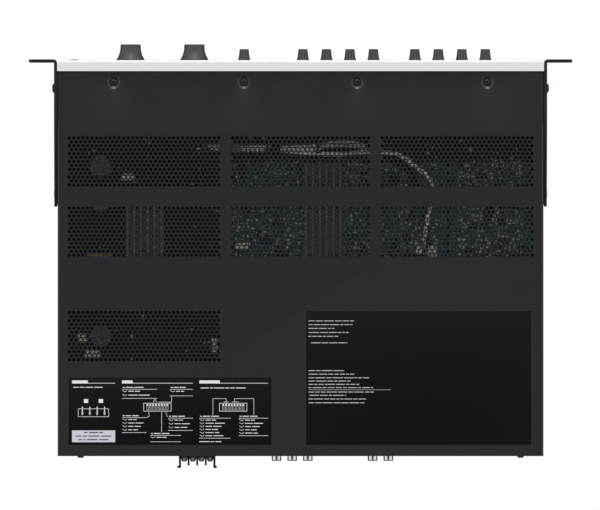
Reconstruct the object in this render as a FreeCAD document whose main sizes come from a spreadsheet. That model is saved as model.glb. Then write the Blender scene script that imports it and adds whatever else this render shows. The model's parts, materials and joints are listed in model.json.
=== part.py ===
import FreeCAD, Part
import math
import os

import Sketcher

# A power amplifier in a case two rack units high. Millimetres; +Z up, the front faces -Y.
# The origin is the middle of the footprint, on the surface that the feet stand on.
SIZES = {
    # case
    "fascia_lip_x": 0.5,         # the fascia stands past the case at its sides by this
    "fascia_lip_z": 1.0,
    "fascia_depth": 9.7,
    "fascia_wall": 2.5,
    "fascia_round": 2.0,
    "body_width": 429.0,
    "body_depth": 340.0,
    "body_height": 86.0,
    "cover_sheet": 1.0,
    "cover_bend": 1.6,
    "chassis_sheet": 1.2,
    "chassis_bend": 2.0,
    "sheet_gap": 0.15,           # between sheets that slide over one another
    "foot_height": 5.5,
    "foot_radius": 10.0,
    "foot_taper": 1.2,
    "foot_side_inset": 44.5,
    "foot_inset": 45.0,
    # rack brackets
    "ear_width": 25.0,           # from the fascia's side to the ear's tip
    "bracket_sheet": 2.3,
    "bracket_bend": 2.8,
    "bracket_depth": 130.0,
    "bracket_straight": 52.0,    # full height up to here, then it tapers
    "bracket_tail": 36.0,
    "bracket_pad": 0.95,         # pressed pads that hold the bracket off the case
    "bracket_pad_radius": 7.0,
    "ear_lead": 0.7,             # the ears stand in front of the fascia by this
    "ear_corner": 3.0,
    "slot_inset": 7.45,
    "slot_spacing_z": 76.2,
    "slot_length": 10.3,
    "slot_width": 6.8,
    # screws
    "screw_radius": 1.5,
    "screw_hole_gap": 0.15,
    "screw_head_radius": 3.0,
    "screw_head_height": 1.5,
    "cover_screw_inner": 50.0,
    "cover_screw_outer": 165.0,
    "cover_screw_inset": 9.3,
    "rear_screw_inset": 20.2,
    "rear_screw_drop": 8.0,
    "dimple_radius": 5.25,
    "dimple_floor": 3.5,
    "dimple_depth": 1.6,
    "bracket_screw_radius": 2.0,
    "bracket_screw_head": 4.0,
    "bracket_screw_rise": 1.8,
    "bracket_screw_inset": 24.7,
    "bracket_screw_spread": 50.0,
    "bracket_tail_screw": 118.0,
    "bracket_tail_rise": 0.4,
    "bracket_screw_length": 8.0,
    # perforated fields of the cover
    "vent_side_inset": 8.8,
    "vent_field_gap": 9.2,
    "vent_middle_width": 123.0,
    "vent_first_row": 59.0,
    "vent_second_row": 121.0,
    "vent_third_row": 213.2,
    "vent_row_pitch": 6.928,
    "vent_slot_width": 3.0,
    "vent_bridge": 3.0,          # metal left between two slots of a row
    # subpanel behind the fascia
    "subpanel_flange": 18.0,
    # controls
    "large_first_x": 150.4,
    "large_second_x": 94.0,
    "small_single_x": 49.9,
    "small_group_x": -2.1,
    "small_second_group_x": -101.1,
    "small_pitch": 20.8,
    "knob_reach": 14.4,
    "knob_gap": 0.4,
    "knob_radius": 12.5,
    "knob_top_radius": 8.6,
    "knob_skirt": 1.0,
    "knob_edge": 0.6,
    "knob_sweep": 1.7,           # how strongly the knob's side curves out to its skirt
    "small_knob_reach": 10.1,
    "small_knob_radius": 5.5,
    "small_knob_body": 4.3,
    "small_knob_top": 4.0,
    "small_knob_skirt": 2.2,
    "pointer_width": 0.8,
    "pointer_depth": 0.5,
    "spline_radius": 2.6,
    "spline_depth": 6.5,
    "spline_gap": 0.03,
    "shaft_radius": 3.0,
    "shaft_gap": 0.15,           # at the corners of the many-sided bore; its flats are closer
    "shaft_clear": 1.0,          # fascia hole around a shaft
    "pot_width": 12.0,
    "pot_depth": 9.0,
    "bushing_radius": 4.5,
    "bushing_length": 5.0,
    "button_inset": 14.7,
    "button_radius": 4.0,
    "button_gap": 0.2,
    "button_rise": 0.7,
    "button_cap": 6.0,
    "button_stem": 4.0,
    "button_travel": 2.5,
    "switch_width": 12.0,
    "switch_depth": 22.0,
    "lamp_radius": 1.5,
    "lamp_lift": 20.0,
    # rear panel and what it carries
    "rear_recess": 4.3,
    "rear_margin": 30.0,
    "rear_slope": 2.0,
    "terminal_x": 91.5,
    "terminal_pitch": 7.62,
    "terminal_wall": 1.3,
    "terminal_reach": 10.9,
    "terminal_inner_reach": 8.3,
    "terminal_seat": 2.0,
    "terminal_height": 15.0,
    "terminal_z": 42.0,
    "terminal_depth": 9.0,
    "terminal_hook": 0.8,
    "terminal_head_radius": 2.45,
    "terminal_head_reach": 3.0,
    "phono_pitch": 13.85,
    "phono_first_x": -6.4,
    "phono_second_x": -77.7,
    "phono_rise": 14.0,
    "phono_block_lift": 8.0,
    "phono_radius": 4.15,
    "phono_bore": 3.3,
    "phono_core_drop": 1.2,      # the plastic core stands back from the sleeve's mouth
    "phono_reach": 4.7,
    "phono_block_depth": 12.0,
    "phono_hole_gap": 0.5,
    "inlet_x": 160.0,
    "inlet_z": 42.0,
    "inlet_width": 28.0,
    "inlet_height": 20.5,
    "inlet_wall": 2.0,
    "inlet_depth": 18.0,
    "inlet_flange": 2.5,
    "inlet_flange_rise": 2.0,
    "blade_pitch": 14.0,
    "blade_width": 4.0,
    "blade_thickness": 2.0,
    "blade_length": 13.0,
    "socket_first_x": -120.0,
    "socket_second_x": -162.0,
    "socket_width": 33.0,
    "socket_height": 11.5,
    "socket_depth": 12.0,
    "socket_wall": 1.2,
    "socket_pitch": 5.08,
    "socket_pin": 1.0,
    "setup_first_x": 50.0,
    "setup_second_x": -35.0,
    "setup_width": 22.0,
    "setup_height": 9.0,
    "setup_depth": 7.0,
    "setup_pitch": 2.54,
    "setup_nub": 1.2,
    "fit_gap": 0.1,
    # boards and what stands on them
    "board_thickness": 1.6,
    "post_height": 8.0,
    "post_radius": 3.0,
    "board_screw_inset": 6.0,
    "board_start": 42.0,
    "board_gap": 7.0,            # between the amplifier board and the power board
    "board_rear_gap": 11.2,      # between the amplifier board and the input board
    "amp_board_width": 242.0,
    "power_board_width": 86.0,
    "power_board_side_gap": 7.15,
    "power_board_rear_gap": 29.35,
    "input_board_side_gap": 23.15,
    "input_board_gap": 46.0,     # between the input board and the power board
    "input_board_depth": 52.0,
    "knob_board_height": 40.0,
    "transformer_y": 186.0,
    "transformer_inset": 27.0,   # from the power board's outer edge
    "transformer_size": 40.0,
    "transformer_height": 34.0,
    "winding_width": 22.0,
    "capacitor_radius": 11.0,
    "capacitor_height": 36.0,
    "capacitor_inset": 28.0,
    "capacitor_y": 84.0,
    "capacitor_pitch": 30.0,
    "power_sink_inset": 67.0,
    "power_sink_y": 142.0,
    "power_sink_length": 80.0,
    "amp_sink_shift": -11.0,     # from the middle of the amplifier board
    "amp_sink_near": 82.0,
    "amp_sink_coil_gap": 20.0,   # between the heatsink's rear end and the coils
    "sink_width": 34.0,
    "sink_height": 42.0,
    "sink_base": 4.0,
    "sink_fin": 1.6,
    "sink_pitch": 6.0,
    "coil_size": 18.0,
    "coil_height": 16.0,
    "coil_inset": 48.0,
    "coil_pitch": 28.0,
    # wire bundle
    "harness_radius": 3.5,
    "harness_z": 66.0,
    "plug_height": 14.0,
    "plug_width": 16.0,
    "plug_depth": 8.0,
    "tie_width": 3.0,
    "tie_thickness": 1.0,
}
ROUND_SIDES = 12       # small round pieces that repeat have this many flat sides
TURNED_SIDES = 24
HOLE_SIDES = 6
HARNESS_SIDES = 6
# the wire bundle's corners on the plan: x, and how far behind the fascia
HARNESS_ROUTE = ((80, 66), (-68, 66), (-110, 92), (-110, 158))

doc = FreeCAD.newDocument("power_amplifier")
sheet = doc.addObject("Spreadsheet::Sheet", "D")
for row, (name, value) in enumerate(SIZES.items(), 1):
    sheet.set(f"A{row}", name)
    sheet.set(f"B{row}", str(value))
    sheet.setAlias(f"B{row}", name)
doc.recompute()


class Length:
    """A number with the spreadsheet expression that gives it, so a formula is written once."""

    def __init__(self, value, text=None):
        self.value = float(value)
        self.text = text or f"{float(value)}"

    def combine(self, other, sign, value):
        return Length(value, f"({self.text} {sign} {length(other).text})")

    def __add__(self, other):
        return self.combine(other, "+", self.value + length(other).value)

    def __sub__(self, other):
        return self.combine(other, "-", self.value - length(other).value)

    def __mul__(self, other):
        return self.combine(other, "*", self.value * length(other).value)

    def __truediv__(self, other):
        return self.combine(other, "/", self.value / length(other).value)

    def __radd__(self, other):
        return length(other) + self

    def __rsub__(self, other):
        return length(other) - self

    def __rmul__(self, other):
        return length(other) * self

    def __neg__(self):
        return Length(-self.value, f"(0 - {self.text})")


def length(value):
    return value if isinstance(value, Length) else Length(value)


class Sizes:
    """Reads a size by its alias."""

    def __getattr__(self, alias):
        return Length(getattr(sheet, alias), f"D.{alias}")


d = Sizes()

# places that many pieces share
front_y = d.knob_reach - (d.knob_reach + d.fascia_depth + d.body_depth + d.terminal_reach) / 2
panel_y = front_y + d.fascia_depth
rear_y = panel_y + d.body_depth
base_z = d.foot_height
top_z = d.foot_height + d.body_height
middle_z = d.foot_height + d.body_height / 2
side_x = d.body_width / 2
tray_x = side_x - d.cover_sheet - d.sheet_gap
wall_x = tray_x - d.chassis_sheet
fascia_x = side_x + d.fascia_lip_x
fascia_z = d.body_height / 2 + d.fascia_lip_z
button_x = fascia_x - d.button_inset
rear_screw_x = side_x - d.rear_screw_inset
large_knobs = (d.large_first_x, d.large_second_x)
small_knobs = (d.small_single_x, *(start + d.small_pitch * -index for start in
                                   (d.small_group_x, d.small_second_group_x) for index in range(4)))
floor_z = base_z + d.chassis_sheet
board_z = floor_z + d.post_height
board_top = board_z + d.board_thickness
recess_y = rear_y - d.cover_sheet - d.sheet_gap - d.rear_recess
subpanel_back = panel_y + d.chassis_sheet
panel_inside = recess_y - d.chassis_sheet
power_right = wall_x - d.power_board_side_gap
power_left = power_right - d.power_board_width
amp_right = power_left - d.board_gap
amp_left = amp_right - d.amp_board_width
board_near = panel_y + d.board_start
input_far = panel_inside - d.sheet_gap
input_near = input_far - d.input_board_depth
amp_far = input_near - d.board_rear_gap
shaft_hole = d.shaft_radius + d.shaft_clear
screw_hole = d.screw_radius + d.screw_hole_gap
pieces = {}


def keep(label, made):
    made.Label = label
    pieces[label] = made
    return made


# PartDesign helpers: every feature runs from its sketch in the positive direction of the axis

def new_body(label):
    return keep(label, bare_body(label))


def bare_body(name):
    """A body that becomes part of a larger piece."""
    made = doc.addObject("PartDesign::Body", name)
    made.AllowCompound = True
    return made


def new_sketch(body, plane, place=0):
    """A sketch on the body's own XY, XZ or YZ plane, moved to z, y or x = place."""
    sketch = body.newObject("Sketcher::SketchObject", f"{body.Name}_outline")
    origin = [item for item in body.Origin.OriginFeatures if item.Role == f"{plane}_Plane"][0]
    sketch.AttachmentSupport = [(origin, "")]
    sketch.MapMode = "FlatFace"
    place = length(place)
    shift = -place if plane == "XZ" else place
    sketch.setExpression("AttachmentOffset.Base.z", shift.text)
    return sketch


def pin(sketch, points):
    """Ties points of the sketch to their distances from the origin; each is (geometry, end, x, y)."""
    rules, texts = [], []
    for geometry, end, x, y in points:
        for kind, distance in (("DistanceX", length(x)), ("DistanceY", length(y))):
            rules.append(Sketcher.Constraint(kind, -1, 1, geometry, end, distance.value))
            texts.append(distance.text)
    for index, text in zip(sketch.addConstraint(rules), texts):
        sketch.setExpression(f"Constraints[{index}]", text)


def outline(sketch, points):
    """A closed outline of straight lines."""
    corners = [FreeCAD.Vector(length(x).value, length(y).value, 0) for x, y in points]
    first, count = sketch.GeometryCount, len(points)
    sketch.addGeometry([Part.LineSegment(corners[i], corners[(i + 1) % count]) for i in range(count)])
    sketch.addConstraint([Sketcher.Constraint("Coincident", first + i, 2, first + (i + 1) % count, 1)
                          for i in range(count)])
    pin(sketch, [(first + i, 1, x, y) for i, (x, y) in enumerate(points)])


def rectangle(sketch, left, bottom, right, top):
    outline(sketch, [(left, bottom), (right, bottom), (right, top), (left, top)])


def polygon(sketch, x, y, radius, sides):
    """Flat sides that lie along those of a prism on the sketch's own normal."""
    first = math.pi / 2 if sketch_plane(sketch) == "YZ" else 0
    corners = []
    for index in range(sides):
        angle = first + 2 * math.pi * index / sides
        corners.append((x + radius * math.cos(angle), y + radius * math.sin(angle)))
    outline(sketch, corners)


def circle(sketch, x, y, radius):
    centre = FreeCAD.Vector(length(x).value, length(y).value, 0)
    index = sketch.addGeometry(Part.Circle(centre, FreeCAD.Vector(0, 0, 1), length(radius).value))
    rule = sketch.addConstraint(Sketcher.Constraint("Radius", index, length(radius).value))
    sketch.setExpression(f"Constraints[{rule}]", length(radius).text)
    pin(sketch, [(index, 3, x, y)])


def slot(sketch, x, y, long, wide):
    """A slot that runs along the sketch's first axis: two straight sides and two round ends."""
    radius = wide / 2
    reach = long / 2 - radius
    ends = []
    for side, start in ((-1, math.pi / 2), (1, -math.pi / 2)):
        centre = FreeCAD.Vector(x.value + side * reach.value, y.value, 0)
        ring = Part.Circle(centre, FreeCAD.Vector(0, 0, 1), radius.value)
        index = sketch.addGeometry(Part.ArcOfCircle(ring, start, start + math.pi))
        rule = sketch.addConstraint(Sketcher.Constraint("Radius", index, radius.value))
        sketch.setExpression(f"Constraints[{rule}]", radius.text)
        pin(sketch, [(index, 3, x + side * reach, y)])
        sketch.addConstraint(Sketcher.Constraint("Vertical", index, 1, index, 3))
        sketch.addConstraint(Sketcher.Constraint("Vertical", index, 2, index, 3))
        ends.append(index)
    left, right = ends
    for first, first_end, second, second_end in ((left, 1, right, 2), (left, 2, right, 1)):
        start = sketch.getPoint(first, first_end)
        line = sketch.addGeometry(Part.LineSegment(start, sketch.getPoint(second, second_end)))
        sketch.addConstraint(Sketcher.Constraint("Coincident", line, 1, first, first_end))
        sketch.addConstraint(Sketcher.Constraint("Coincident", line, 2, second, second_end))


def feature(body, kind, sketch, distance, backward):
    made = body.newObject(f"PartDesign::{kind}", f"{body.Name}_{kind.lower()}")
    made.Profile = sketch
    made.setExpression("Length", length(distance).text)
    made.Reversed = backward
    body.Tip = made
    return made


def pad(body, sketch, distance):
    return feature(body, "Pad", sketch, distance, sketch_plane(sketch) == "XZ")


def cut(body, sketch, distance):
    return feature(body, "Pocket", sketch, distance, sketch_plane(sketch) != "XZ")


def sketch_plane(sketch):
    return sketch.AttachmentSupport[0][0].Role[:2]


def drill(body, places, plane, start, distance, radius, sides):
    """Cuts one hole at each place, with a few flat sides."""
    for x, y in places:
        hole = new_sketch(body, plane, start)
        polygon(hole, x, y, radius, sides)
        cut(body, hole, distance)


def dress(body, kind, test, size):
    """Rounds or bevels the edges of the body that the test picks."""
    doc.recompute()
    base = body.Tip
    names = [f"Edge{i}" for i, edge in enumerate(base.Shape.Edges, 1) if test(edge)]
    made = body.newObject(f"PartDesign::{kind}", f"{body.Name}_{kind.lower()}")
    made.Base = (base, names)
    made.setExpression("Radius" if kind == "Fillet" else "Size", length(size).text)
    body.Tip = made
    return made


def runs_along(edge, axis):
    """Whether an edge is straight and parallel to an axis."""
    ends = [vertex.Point for vertex in edge.Vertexes]
    if len(ends) != 2 or edge.Curve.TypeId != "Part::GeomLine":
        return False
    step = ends[1] - ends[0]
    return abs(step.getAngle(axis)) < 1e-6 or abs(step.getAngle(-axis)) < 1e-6


X, Y, Z = FreeCAD.Vector(1, 0, 0), FreeCAD.Vector(0, 1, 0), FreeCAD.Vector(0, 0, 1)


def middle(edge):
    return (edge.Vertexes[0].Point + edge.Vertexes[-1].Point) * 0.5


# Part helpers for plain blocks and rods

def place(made, x, y, z):
    for axis, distance in zip("xyz", (x, y, z)):
        made.setExpression(f"Placement.Base.{axis}", length(distance).text)
    return made


def block(name, low, high):
    """A box between two corners."""
    made = doc.addObject("Part::Box", name)
    for side, start, end in zip(("Length", "Width", "Height"), low, high):
        made.setExpression(side, (length(end) - length(start)).text)
    return place(made, *low)


def rod(name, start, axis, radius, reach):
    """A round rod from a point along an axis."""
    made = doc.addObject("Part::Cylinder", name)
    made.Placement = FreeCAD.Placement(FreeCAD.Vector(), FreeCAD.Rotation(Z, axis))
    made.setExpression("Radius", length(radius).text)
    made.setExpression("Height", length(reach).text)
    return place(made, *start)


def prism(name, start, axis, radius, reach, sides):
    """A rod with flat sides, for small pieces that repeat."""
    made = doc.addObject("Part::Prism", name)
    made.Polygon = sides
    made.Placement = FreeCAD.Placement(FreeCAD.Vector(), FreeCAD.Rotation(Z, axis))
    made.setExpression("Circumradius", length(radius).text)
    made.setExpression("Height", length(reach).text)
    return place(made, *start)


def turned(name, rings, sides, axis):
    """A turned form with flat sides; rings are pairs of a height on the axis and a radius."""
    loops = []
    for height, radius in rings:
        reach, rise = length(radius).value, length(height).value
        angles = [2 * math.pi * index / sides for index in range(sides)]
        loops.append([FreeCAD.Vector(reach * math.cos(angle), reach * math.sin(angle), rise)
                      for angle in angles])
    faces = [Part.Face(Part.makePolygon(loop + loop[:1])) for loop in (loops[0], loops[-1])]
    for low, high in zip(loops, loops[1:]):
        for index in range(sides):
            after = (index + 1) % sides
            corners = [low[index], low[after], high[after], high[index], low[index]]
            faces.append(Part.Face(Part.makePolygon(corners)))
    solid = Part.makeSolid(Part.makeShell(faces))
    if solid.Volume < 0:
        solid.reverse()
    made = doc.addObject("Part::Feature", name)
    made.Shape = solid
    made.Placement = FreeCAD.Placement(FreeCAD.Vector(), FreeCAD.Rotation(Z, axis))
    return made


def join(label, shapes):
    if len(shapes) == 1:
        return keep(label, shapes[0])
    made = doc.addObject("Part::MultiFuse", label)
    made.Shapes = shapes
    return keep(label, made)


def difference(name, base, tools):
    made = doc.addObject("Part::Cut", name)
    made.Base = base
    if len(tools) == 1:
        made.Tool = tools[0]
    else:
        joined = doc.addObject("Part::MultiFuse", f"{name}_tools")
        joined.Shapes = tools
        made.Tool = joined
    return made


# case

def make_fascia():
    body = new_body("fascia")
    half, rise = fascia_x, fascia_z
    face = new_sketch(body, "XZ", front_y)
    rectangle(face, -half, middle_z - rise, half, middle_z + rise)
    pad(body, face, d.fascia_depth)
    dress(body, "Fillet", lambda edge: abs(middle(edge).y - front_y.value) < 0.01, d.fascia_round)
    hollow = new_sketch(body, "XZ", front_y + d.fascia_wall)
    half, rise = half - d.fascia_wall, rise - d.fascia_wall
    rectangle(hollow, -half, middle_z - rise, half, middle_z + rise)
    cut(body, hollow, d.fascia_depth)
    holes = new_sketch(body, "XZ", front_y)
    circle(holes, button_x, middle_z, d.button_radius + d.button_gap)
    cut(body, holes, d.fascia_depth)
    drill(body, knob_places(), "XZ", front_y, d.fascia_depth, shaft_hole, HOLE_SIDES)
    drill(body, lamp_places(), "XZ", front_y, d.fascia_depth, d.lamp_radius + d.fit_gap, ROUND_SIDES)


def knob_places():
    return [(x, middle_z) for x in large_knobs + small_knobs]


def lamp_places():
    return [(x, middle_z + d.lamp_lift) for x in (button_x, *large_knobs)]


def cover_screw_places():
    inset = panel_y + d.cover_screw_inset
    return [(side * x, inset) for x in (d.cover_screw_inner, d.cover_screw_outer) for side in (-1, 1)]


def rear_screw_places():
    return [(x, top_z - d.rear_screw_drop) for x in (-rear_screw_x, rear_screw_x)]


def make_front_subpanel():
    """A folded channel that closes the fascia and carries the controls."""
    body = new_body("front_subpanel")
    half = wall_x - d.sheet_gap
    low, high = floor_z, top_z - d.dimple_depth - d.cover_sheet
    back = panel_y + d.subpanel_flange
    profile = new_sketch(body, "YZ", -half)
    outline(profile, [
        (panel_y, low), (back, low), (back, low + d.chassis_sheet), (subpanel_back, low + d.chassis_sheet),
        (subpanel_back, high - d.chassis_sheet), (back, high - d.chassis_sheet), (back, high),
        (panel_y, high)])
    pad(body, profile, 2 * half)
    holes = new_sketch(body, "XZ", panel_y)
    stem = d.button_stem / 2 + d.button_gap
    rectangle(holes, button_x - stem, middle_z - stem, button_x + stem, middle_z + stem)
    cut(body, holes, d.chassis_sheet)
    drill(body, knob_places(), "XZ", panel_y, d.chassis_sheet, d.bushing_radius + d.fit_gap, HOLE_SIDES)
    drill(body, cover_screw_places(), "XY", high - d.chassis_sheet, d.chassis_sheet, screw_hole, HOLE_SIDES)


def make_chassis_tray():
    """The floor and both sides, folded from one sheet."""
    body = new_body("chassis_tray")
    high = top_z - d.cover_sheet - d.sheet_gap
    inner = wall_x
    profile = new_sketch(body, "XZ", panel_y)
    outline(profile, [
        (-tray_x, high), (-tray_x, base_z), (tray_x, base_z), (tray_x, high),
        (inner, high), (inner, floor_z), (-inner, floor_z), (-inner, high)])
    pad(body, profile, d.body_depth - d.cover_sheet - d.sheet_gap)
    dress(body, "Fillet", lambda edge: runs_along(edge, Y) and abs(middle(edge).z - base_z.value) < 0.01,
          d.chassis_bend)
    dress(body, "Fillet", lambda edge: runs_along(edge, Y) and abs(middle(edge).z - floor_z.value) < 0.01,
          d.chassis_bend - d.chassis_sheet)
    side_holes(body, -tray_x, 2 * tray_x)


def side_holes(body, start, reach):
    """The holes that the bracket screws pass through, in a row along each side."""
    radius = d.bracket_screw_radius + d.screw_hole_gap
    drill(body, bracket_screw_places(), "YZ", start, reach, radius, HOLE_SIDES)


def bracket_screw_places():
    near = front_y + d.bracket_screw_inset
    spread = d.bracket_screw_spread / 2
    return [(near, middle_z - spread), (near, middle_z + spread), (front_y + d.bracket_tail_screw, middle_z)]


def make_top_cover():
    """The lid: one sheet bent over both sides, with perforated fields, two rear tabs, and dimples
    that are pressed down until they rest on the subpanel's flange."""
    body = bare_body("cover_sheet")
    low = base_z + d.chassis_bend
    inner = side_x - d.cover_sheet
    under = top_z - d.cover_sheet
    profile = new_sketch(body, "XZ", panel_y)
    outline(profile, [
        (-side_x, low), (-side_x, top_z), (side_x, top_z), (side_x, low),
        (inner, low), (inner, under), (-inner, under), (-inner, low)])
    pad(body, profile, d.body_depth)
    dress(body, "Fillet", lambda edge: runs_along(edge, Y) and abs(middle(edge).z - top_z.value) < 0.01,
          d.cover_bend)
    dress(body, "Fillet", lambda edge: runs_along(edge, Y) and abs(middle(edge).z - under.value) < 0.01,
          d.cover_bend - d.cover_sheet)
    tabs = new_sketch(body, "XZ", rear_y - d.cover_sheet)
    reach = 3 * d.screw_head_radius
    for x, _ in rear_screw_places():
        rectangle(tabs, x - reach, top_z - 2 * d.rear_screw_drop, x + reach, under)
    pad(body, tabs, d.cover_sheet)
    drill(body, rear_screw_places(), "XZ", rear_y - d.cover_sheet, d.cover_sheet, screw_hole, HOLE_SIDES)
    side_holes(body, -side_x, 2 * side_x)
    perforate(body)
    floor, outer, slant = top_z - d.dimple_depth, d.dimple_radius, d.cover_sheet / 2
    formed, tools = [body], []
    for x, y in cover_screw_places():
        drop = d.dimple_depth
        dome = turned("dimple", [(0, d.dimple_floor + slant), (drop, outer)], ROUND_SIDES, Z)
        bowl = turned("dimple_bowl", [(0, d.dimple_floor), (drop, outer)], ROUND_SIDES, Z)
        formed.append(place(dome, x, y, floor - d.cover_sheet))
        tools.append(place(bowl, x, y, floor))
        start = (x, y, floor - d.cover_sheet)
        tools.append(prism("dimple_hole", start, Z, screw_hole, d.cover_sheet, HOLE_SIDES))
    joined = doc.addObject("Part::MultiFuse", "cover_formed")
    joined.Shapes = formed
    keep("top_cover", difference("top_cover", joined, tools))


def vent_fields():
    """Each perforated field: its middle, its width, and how far its first row is from the front."""
    inner, outer = d.vent_middle_width / 2 + d.vent_field_gap, side_x - d.vent_side_inset
    side_field, side_width = (inner + outer) / 2, outer - inner
    for first_row in (d.vent_first_row, d.vent_second_row):
        for x, width in ((-side_field, side_width), (0, d.vent_middle_width), (side_field, side_width)):
            yield x, width, first_row
    yield side_field, side_width, d.vent_third_row


def perforate(body, slots=2, rows=7):
    """Rows of slots in each field: the first row is cut, then repeated towards the rear."""
    holes = new_sketch(body, "XY", top_z - 2 * d.cover_sheet)
    for x, width, first_row in vent_fields():
        long = (width + d.vent_bridge) / slots
        near = panel_y + first_row - d.vent_slot_width / 2
        for index in range(slots):
            left = x - width / 2 + index * long
            rectangle(holes, left, near, left + long - d.vent_bridge, near + d.vent_slot_width)
    first = cut(body, holes, 3 * d.cover_sheet)
    pattern = body.newObject("PartDesign::LinearPattern", "top_cover_rows")
    pattern.Originals = [first]
    pattern.Direction = (holes, ["V_Axis"])
    pattern.setExpression("Length", ((rows - 1) * d.vent_row_pitch).text)
    pattern.Occurrences = rows
    body.Tip = pattern


def make_rear_panel():
    """A sheet whose middle stands back from its two ends, so that sockets sit in a shallow recess."""
    body = new_body("rear_panel")
    end_y = recess_y + d.rear_recess
    half = wall_x - d.sheet_gap
    step = half - d.rear_margin
    foot = step - d.rear_slope
    outside = [(-half, end_y), (-step, end_y), (-foot, recess_y),
               (foot, recess_y), (step, end_y), (half, end_y)]
    inside = [(x, y - d.chassis_sheet) for x, y in reversed(outside)]
    profile = new_sketch(body, "XY", floor_z)
    outline(profile, outside + inside)
    pad(body, profile, top_z - d.cover_sheet - d.sheet_gap - floor_z)
    through = recess_y - 2 * d.chassis_sheet, 3 * d.chassis_sheet
    holes = new_sketch(body, "XZ", through[0])
    for x, z, width, height in (terminal_opening(), inlet_opening(), *socket_openings(), *setup_openings()):
        width, height = width / 2 + d.fit_gap, height / 2 + d.fit_gap
        rectangle(holes, x - width, z - height, x + width, z + height)
    cut(body, holes, through[1])
    drill(body, phono_places(), "XZ", *through, d.phono_radius + d.phono_hole_gap, ROUND_SIDES)
    drill(body, rear_screw_places(), "XZ", end_y - 2 * d.chassis_sheet, 3 * d.chassis_sheet, screw_hole,
          HOLE_SIDES)


def phono_columns():
    first = [d.phono_first_x + index * d.phono_pitch for index in range(3)]
    second = [d.phono_second_x + index * d.phono_pitch for index in range(2)]
    return first, second


def phono_places():
    first, second = phono_columns()
    low = board_top + d.phono_block_lift
    return [(x, low + row * d.phono_rise) for x in first + second for row in (0, 1)]


def terminal_opening():
    width = 4 * d.terminal_pitch - d.terminal_wall
    return d.terminal_x, d.terminal_z, width, d.terminal_height - 2 * d.terminal_wall


def inlet_opening():
    return d.inlet_x, d.inlet_z, d.inlet_width, d.inlet_height


def socket_openings():
    z = board_top + d.socket_height / 2
    return [(x, z, d.socket_width, d.socket_height) for x in (d.socket_first_x, d.socket_second_x)]


def setup_openings():
    z = board_top + d.setup_height / 2
    return [(x, z, d.setup_width, d.setup_height) for x in (d.setup_first_x, d.setup_second_x)]


def make_rubber_feet():
    feet = []
    near, far = panel_y + d.foot_inset, rear_y - d.foot_inset
    for x in (d.foot_side_inset - side_x, side_x - d.foot_side_inset):
        for y in (near, far):
            rings = [(0, d.foot_radius - d.foot_taper), (d.foot_height, d.foot_radius)]
            feet.append(place(turned("foot", rings, TURNED_SIDES, Z), x, y, 0))
    join("rubber_feet", feet)


def make_rack_bracket(label, side):
    """An angle: the ear in front, and a flange along the case that stands on pressed pads."""
    body = new_body(label)
    inner = side_x + d.bracket_pad
    outer = inner + d.bracket_sheet
    ear_y = front_y - d.ear_lead
    ear_back = ear_y + d.bracket_sheet
    rear = ear_y + d.bracket_depth
    low, high = middle_z - fascia_z, middle_z + fascia_z
    profile = new_sketch(body, "XY", low)
    tip = fascia_x + d.ear_width
    outline(profile, [(side * x, y) for x, y in (
        (inner, ear_y), (tip, ear_y), (tip, ear_back), (outer, ear_back), (outer, rear), (inner, rear))])
    pad(body, profile, high - low)

    def at_corner(x, y):
        return lambda edge: (runs_along(edge, Z) and abs(middle(edge).x - side * x.value) < 0.01
                             and abs(middle(edge).y - y.value) < 0.01)

    dress(body, "Fillet", at_corner(inner, ear_y), d.bracket_bend)
    dress(body, "Fillet", at_corner(outer, ear_back), d.bracket_bend - d.bracket_sheet)
    dress(body, "Fillet", lambda edge: runs_along(edge, Y) and abs(abs(middle(edge).x) - tip.value) < 0.01,
          d.ear_corner)
    start = inner if side > 0 else -outer
    taper = new_sketch(body, "YZ", start)
    bend = ear_y + d.bracket_straight
    for edge, tail in ((low, middle_z - d.bracket_tail / 2), (high, middle_z + d.bracket_tail / 2)):
        outline(taper, [(bend, edge), (rear, edge), (rear, tail)])
    cut(body, taper, d.bracket_sheet)
    pads = new_sketch(body, "YZ", side_x if side > 0 else -inner)
    for y, z in bracket_screw_places():
        polygon(pads, y, z, d.bracket_pad_radius, HOLE_SIDES)
    pad(body, pads, d.bracket_pad)
    side_holes(body, side_x if side > 0 else -outer, outer - side_x)
    slots = new_sketch(body, "XZ", ear_y)
    for z in (middle_z - d.slot_spacing_z / 2, middle_z + d.slot_spacing_z / 2):
        slot(slots, side * (tip - d.slot_inset), z, d.slot_length, d.slot_width)
    cut(body, slots, d.bracket_sheet)


def make_cover_screws():
    screws = []
    floor = top_z - d.dimple_depth
    shank = d.cover_sheet + d.chassis_sheet + d.screw_head_height
    for x, y in cover_screw_places():
        start = (x, y, floor)
        screws.append(screw(start, Z, d.screw_radius, shank, d.screw_head_radius, d.screw_head_height))
    for x, z in rear_screw_places():
        start = (x, rear_y, z)
        screws.append(screw(start, Y, d.screw_radius, shank, d.screw_head_radius, d.screw_head_height))
    join("cover_screws", screws)


def screw(seat, axis, radius, shank, head_radius, head_height):
    """A head that rises from its seat along the axis, and a shank that runs back from it."""
    foot = [length(place) - shank * float(step) for place, step in zip(seat, axis)]
    head = prism("screw_head", seat, axis, head_radius, head_height, ROUND_SIDES)
    stem = prism("screw_stem", foot, axis, radius, shank, HOLE_SIDES)
    made = doc.addObject("Part::MultiFuse", "screw")
    made.Shapes = [head, stem]
    return made


def make_bracket_screws():
    screws = []
    outer = side_x + d.bracket_pad + d.bracket_sheet
    for side in (-1, 1):
        for index, (y, z) in enumerate(bracket_screw_places()):
            rise = d.bracket_screw_rise if index < 2 else d.bracket_tail_rise
            screws.append(screw((side * outer, y, z), side * X, d.bracket_screw_radius,
                                d.bracket_screw_length, d.bracket_screw_head, rise))
    join("bracket_screws", screws)


# sockets and terminals on the rear panel

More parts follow.
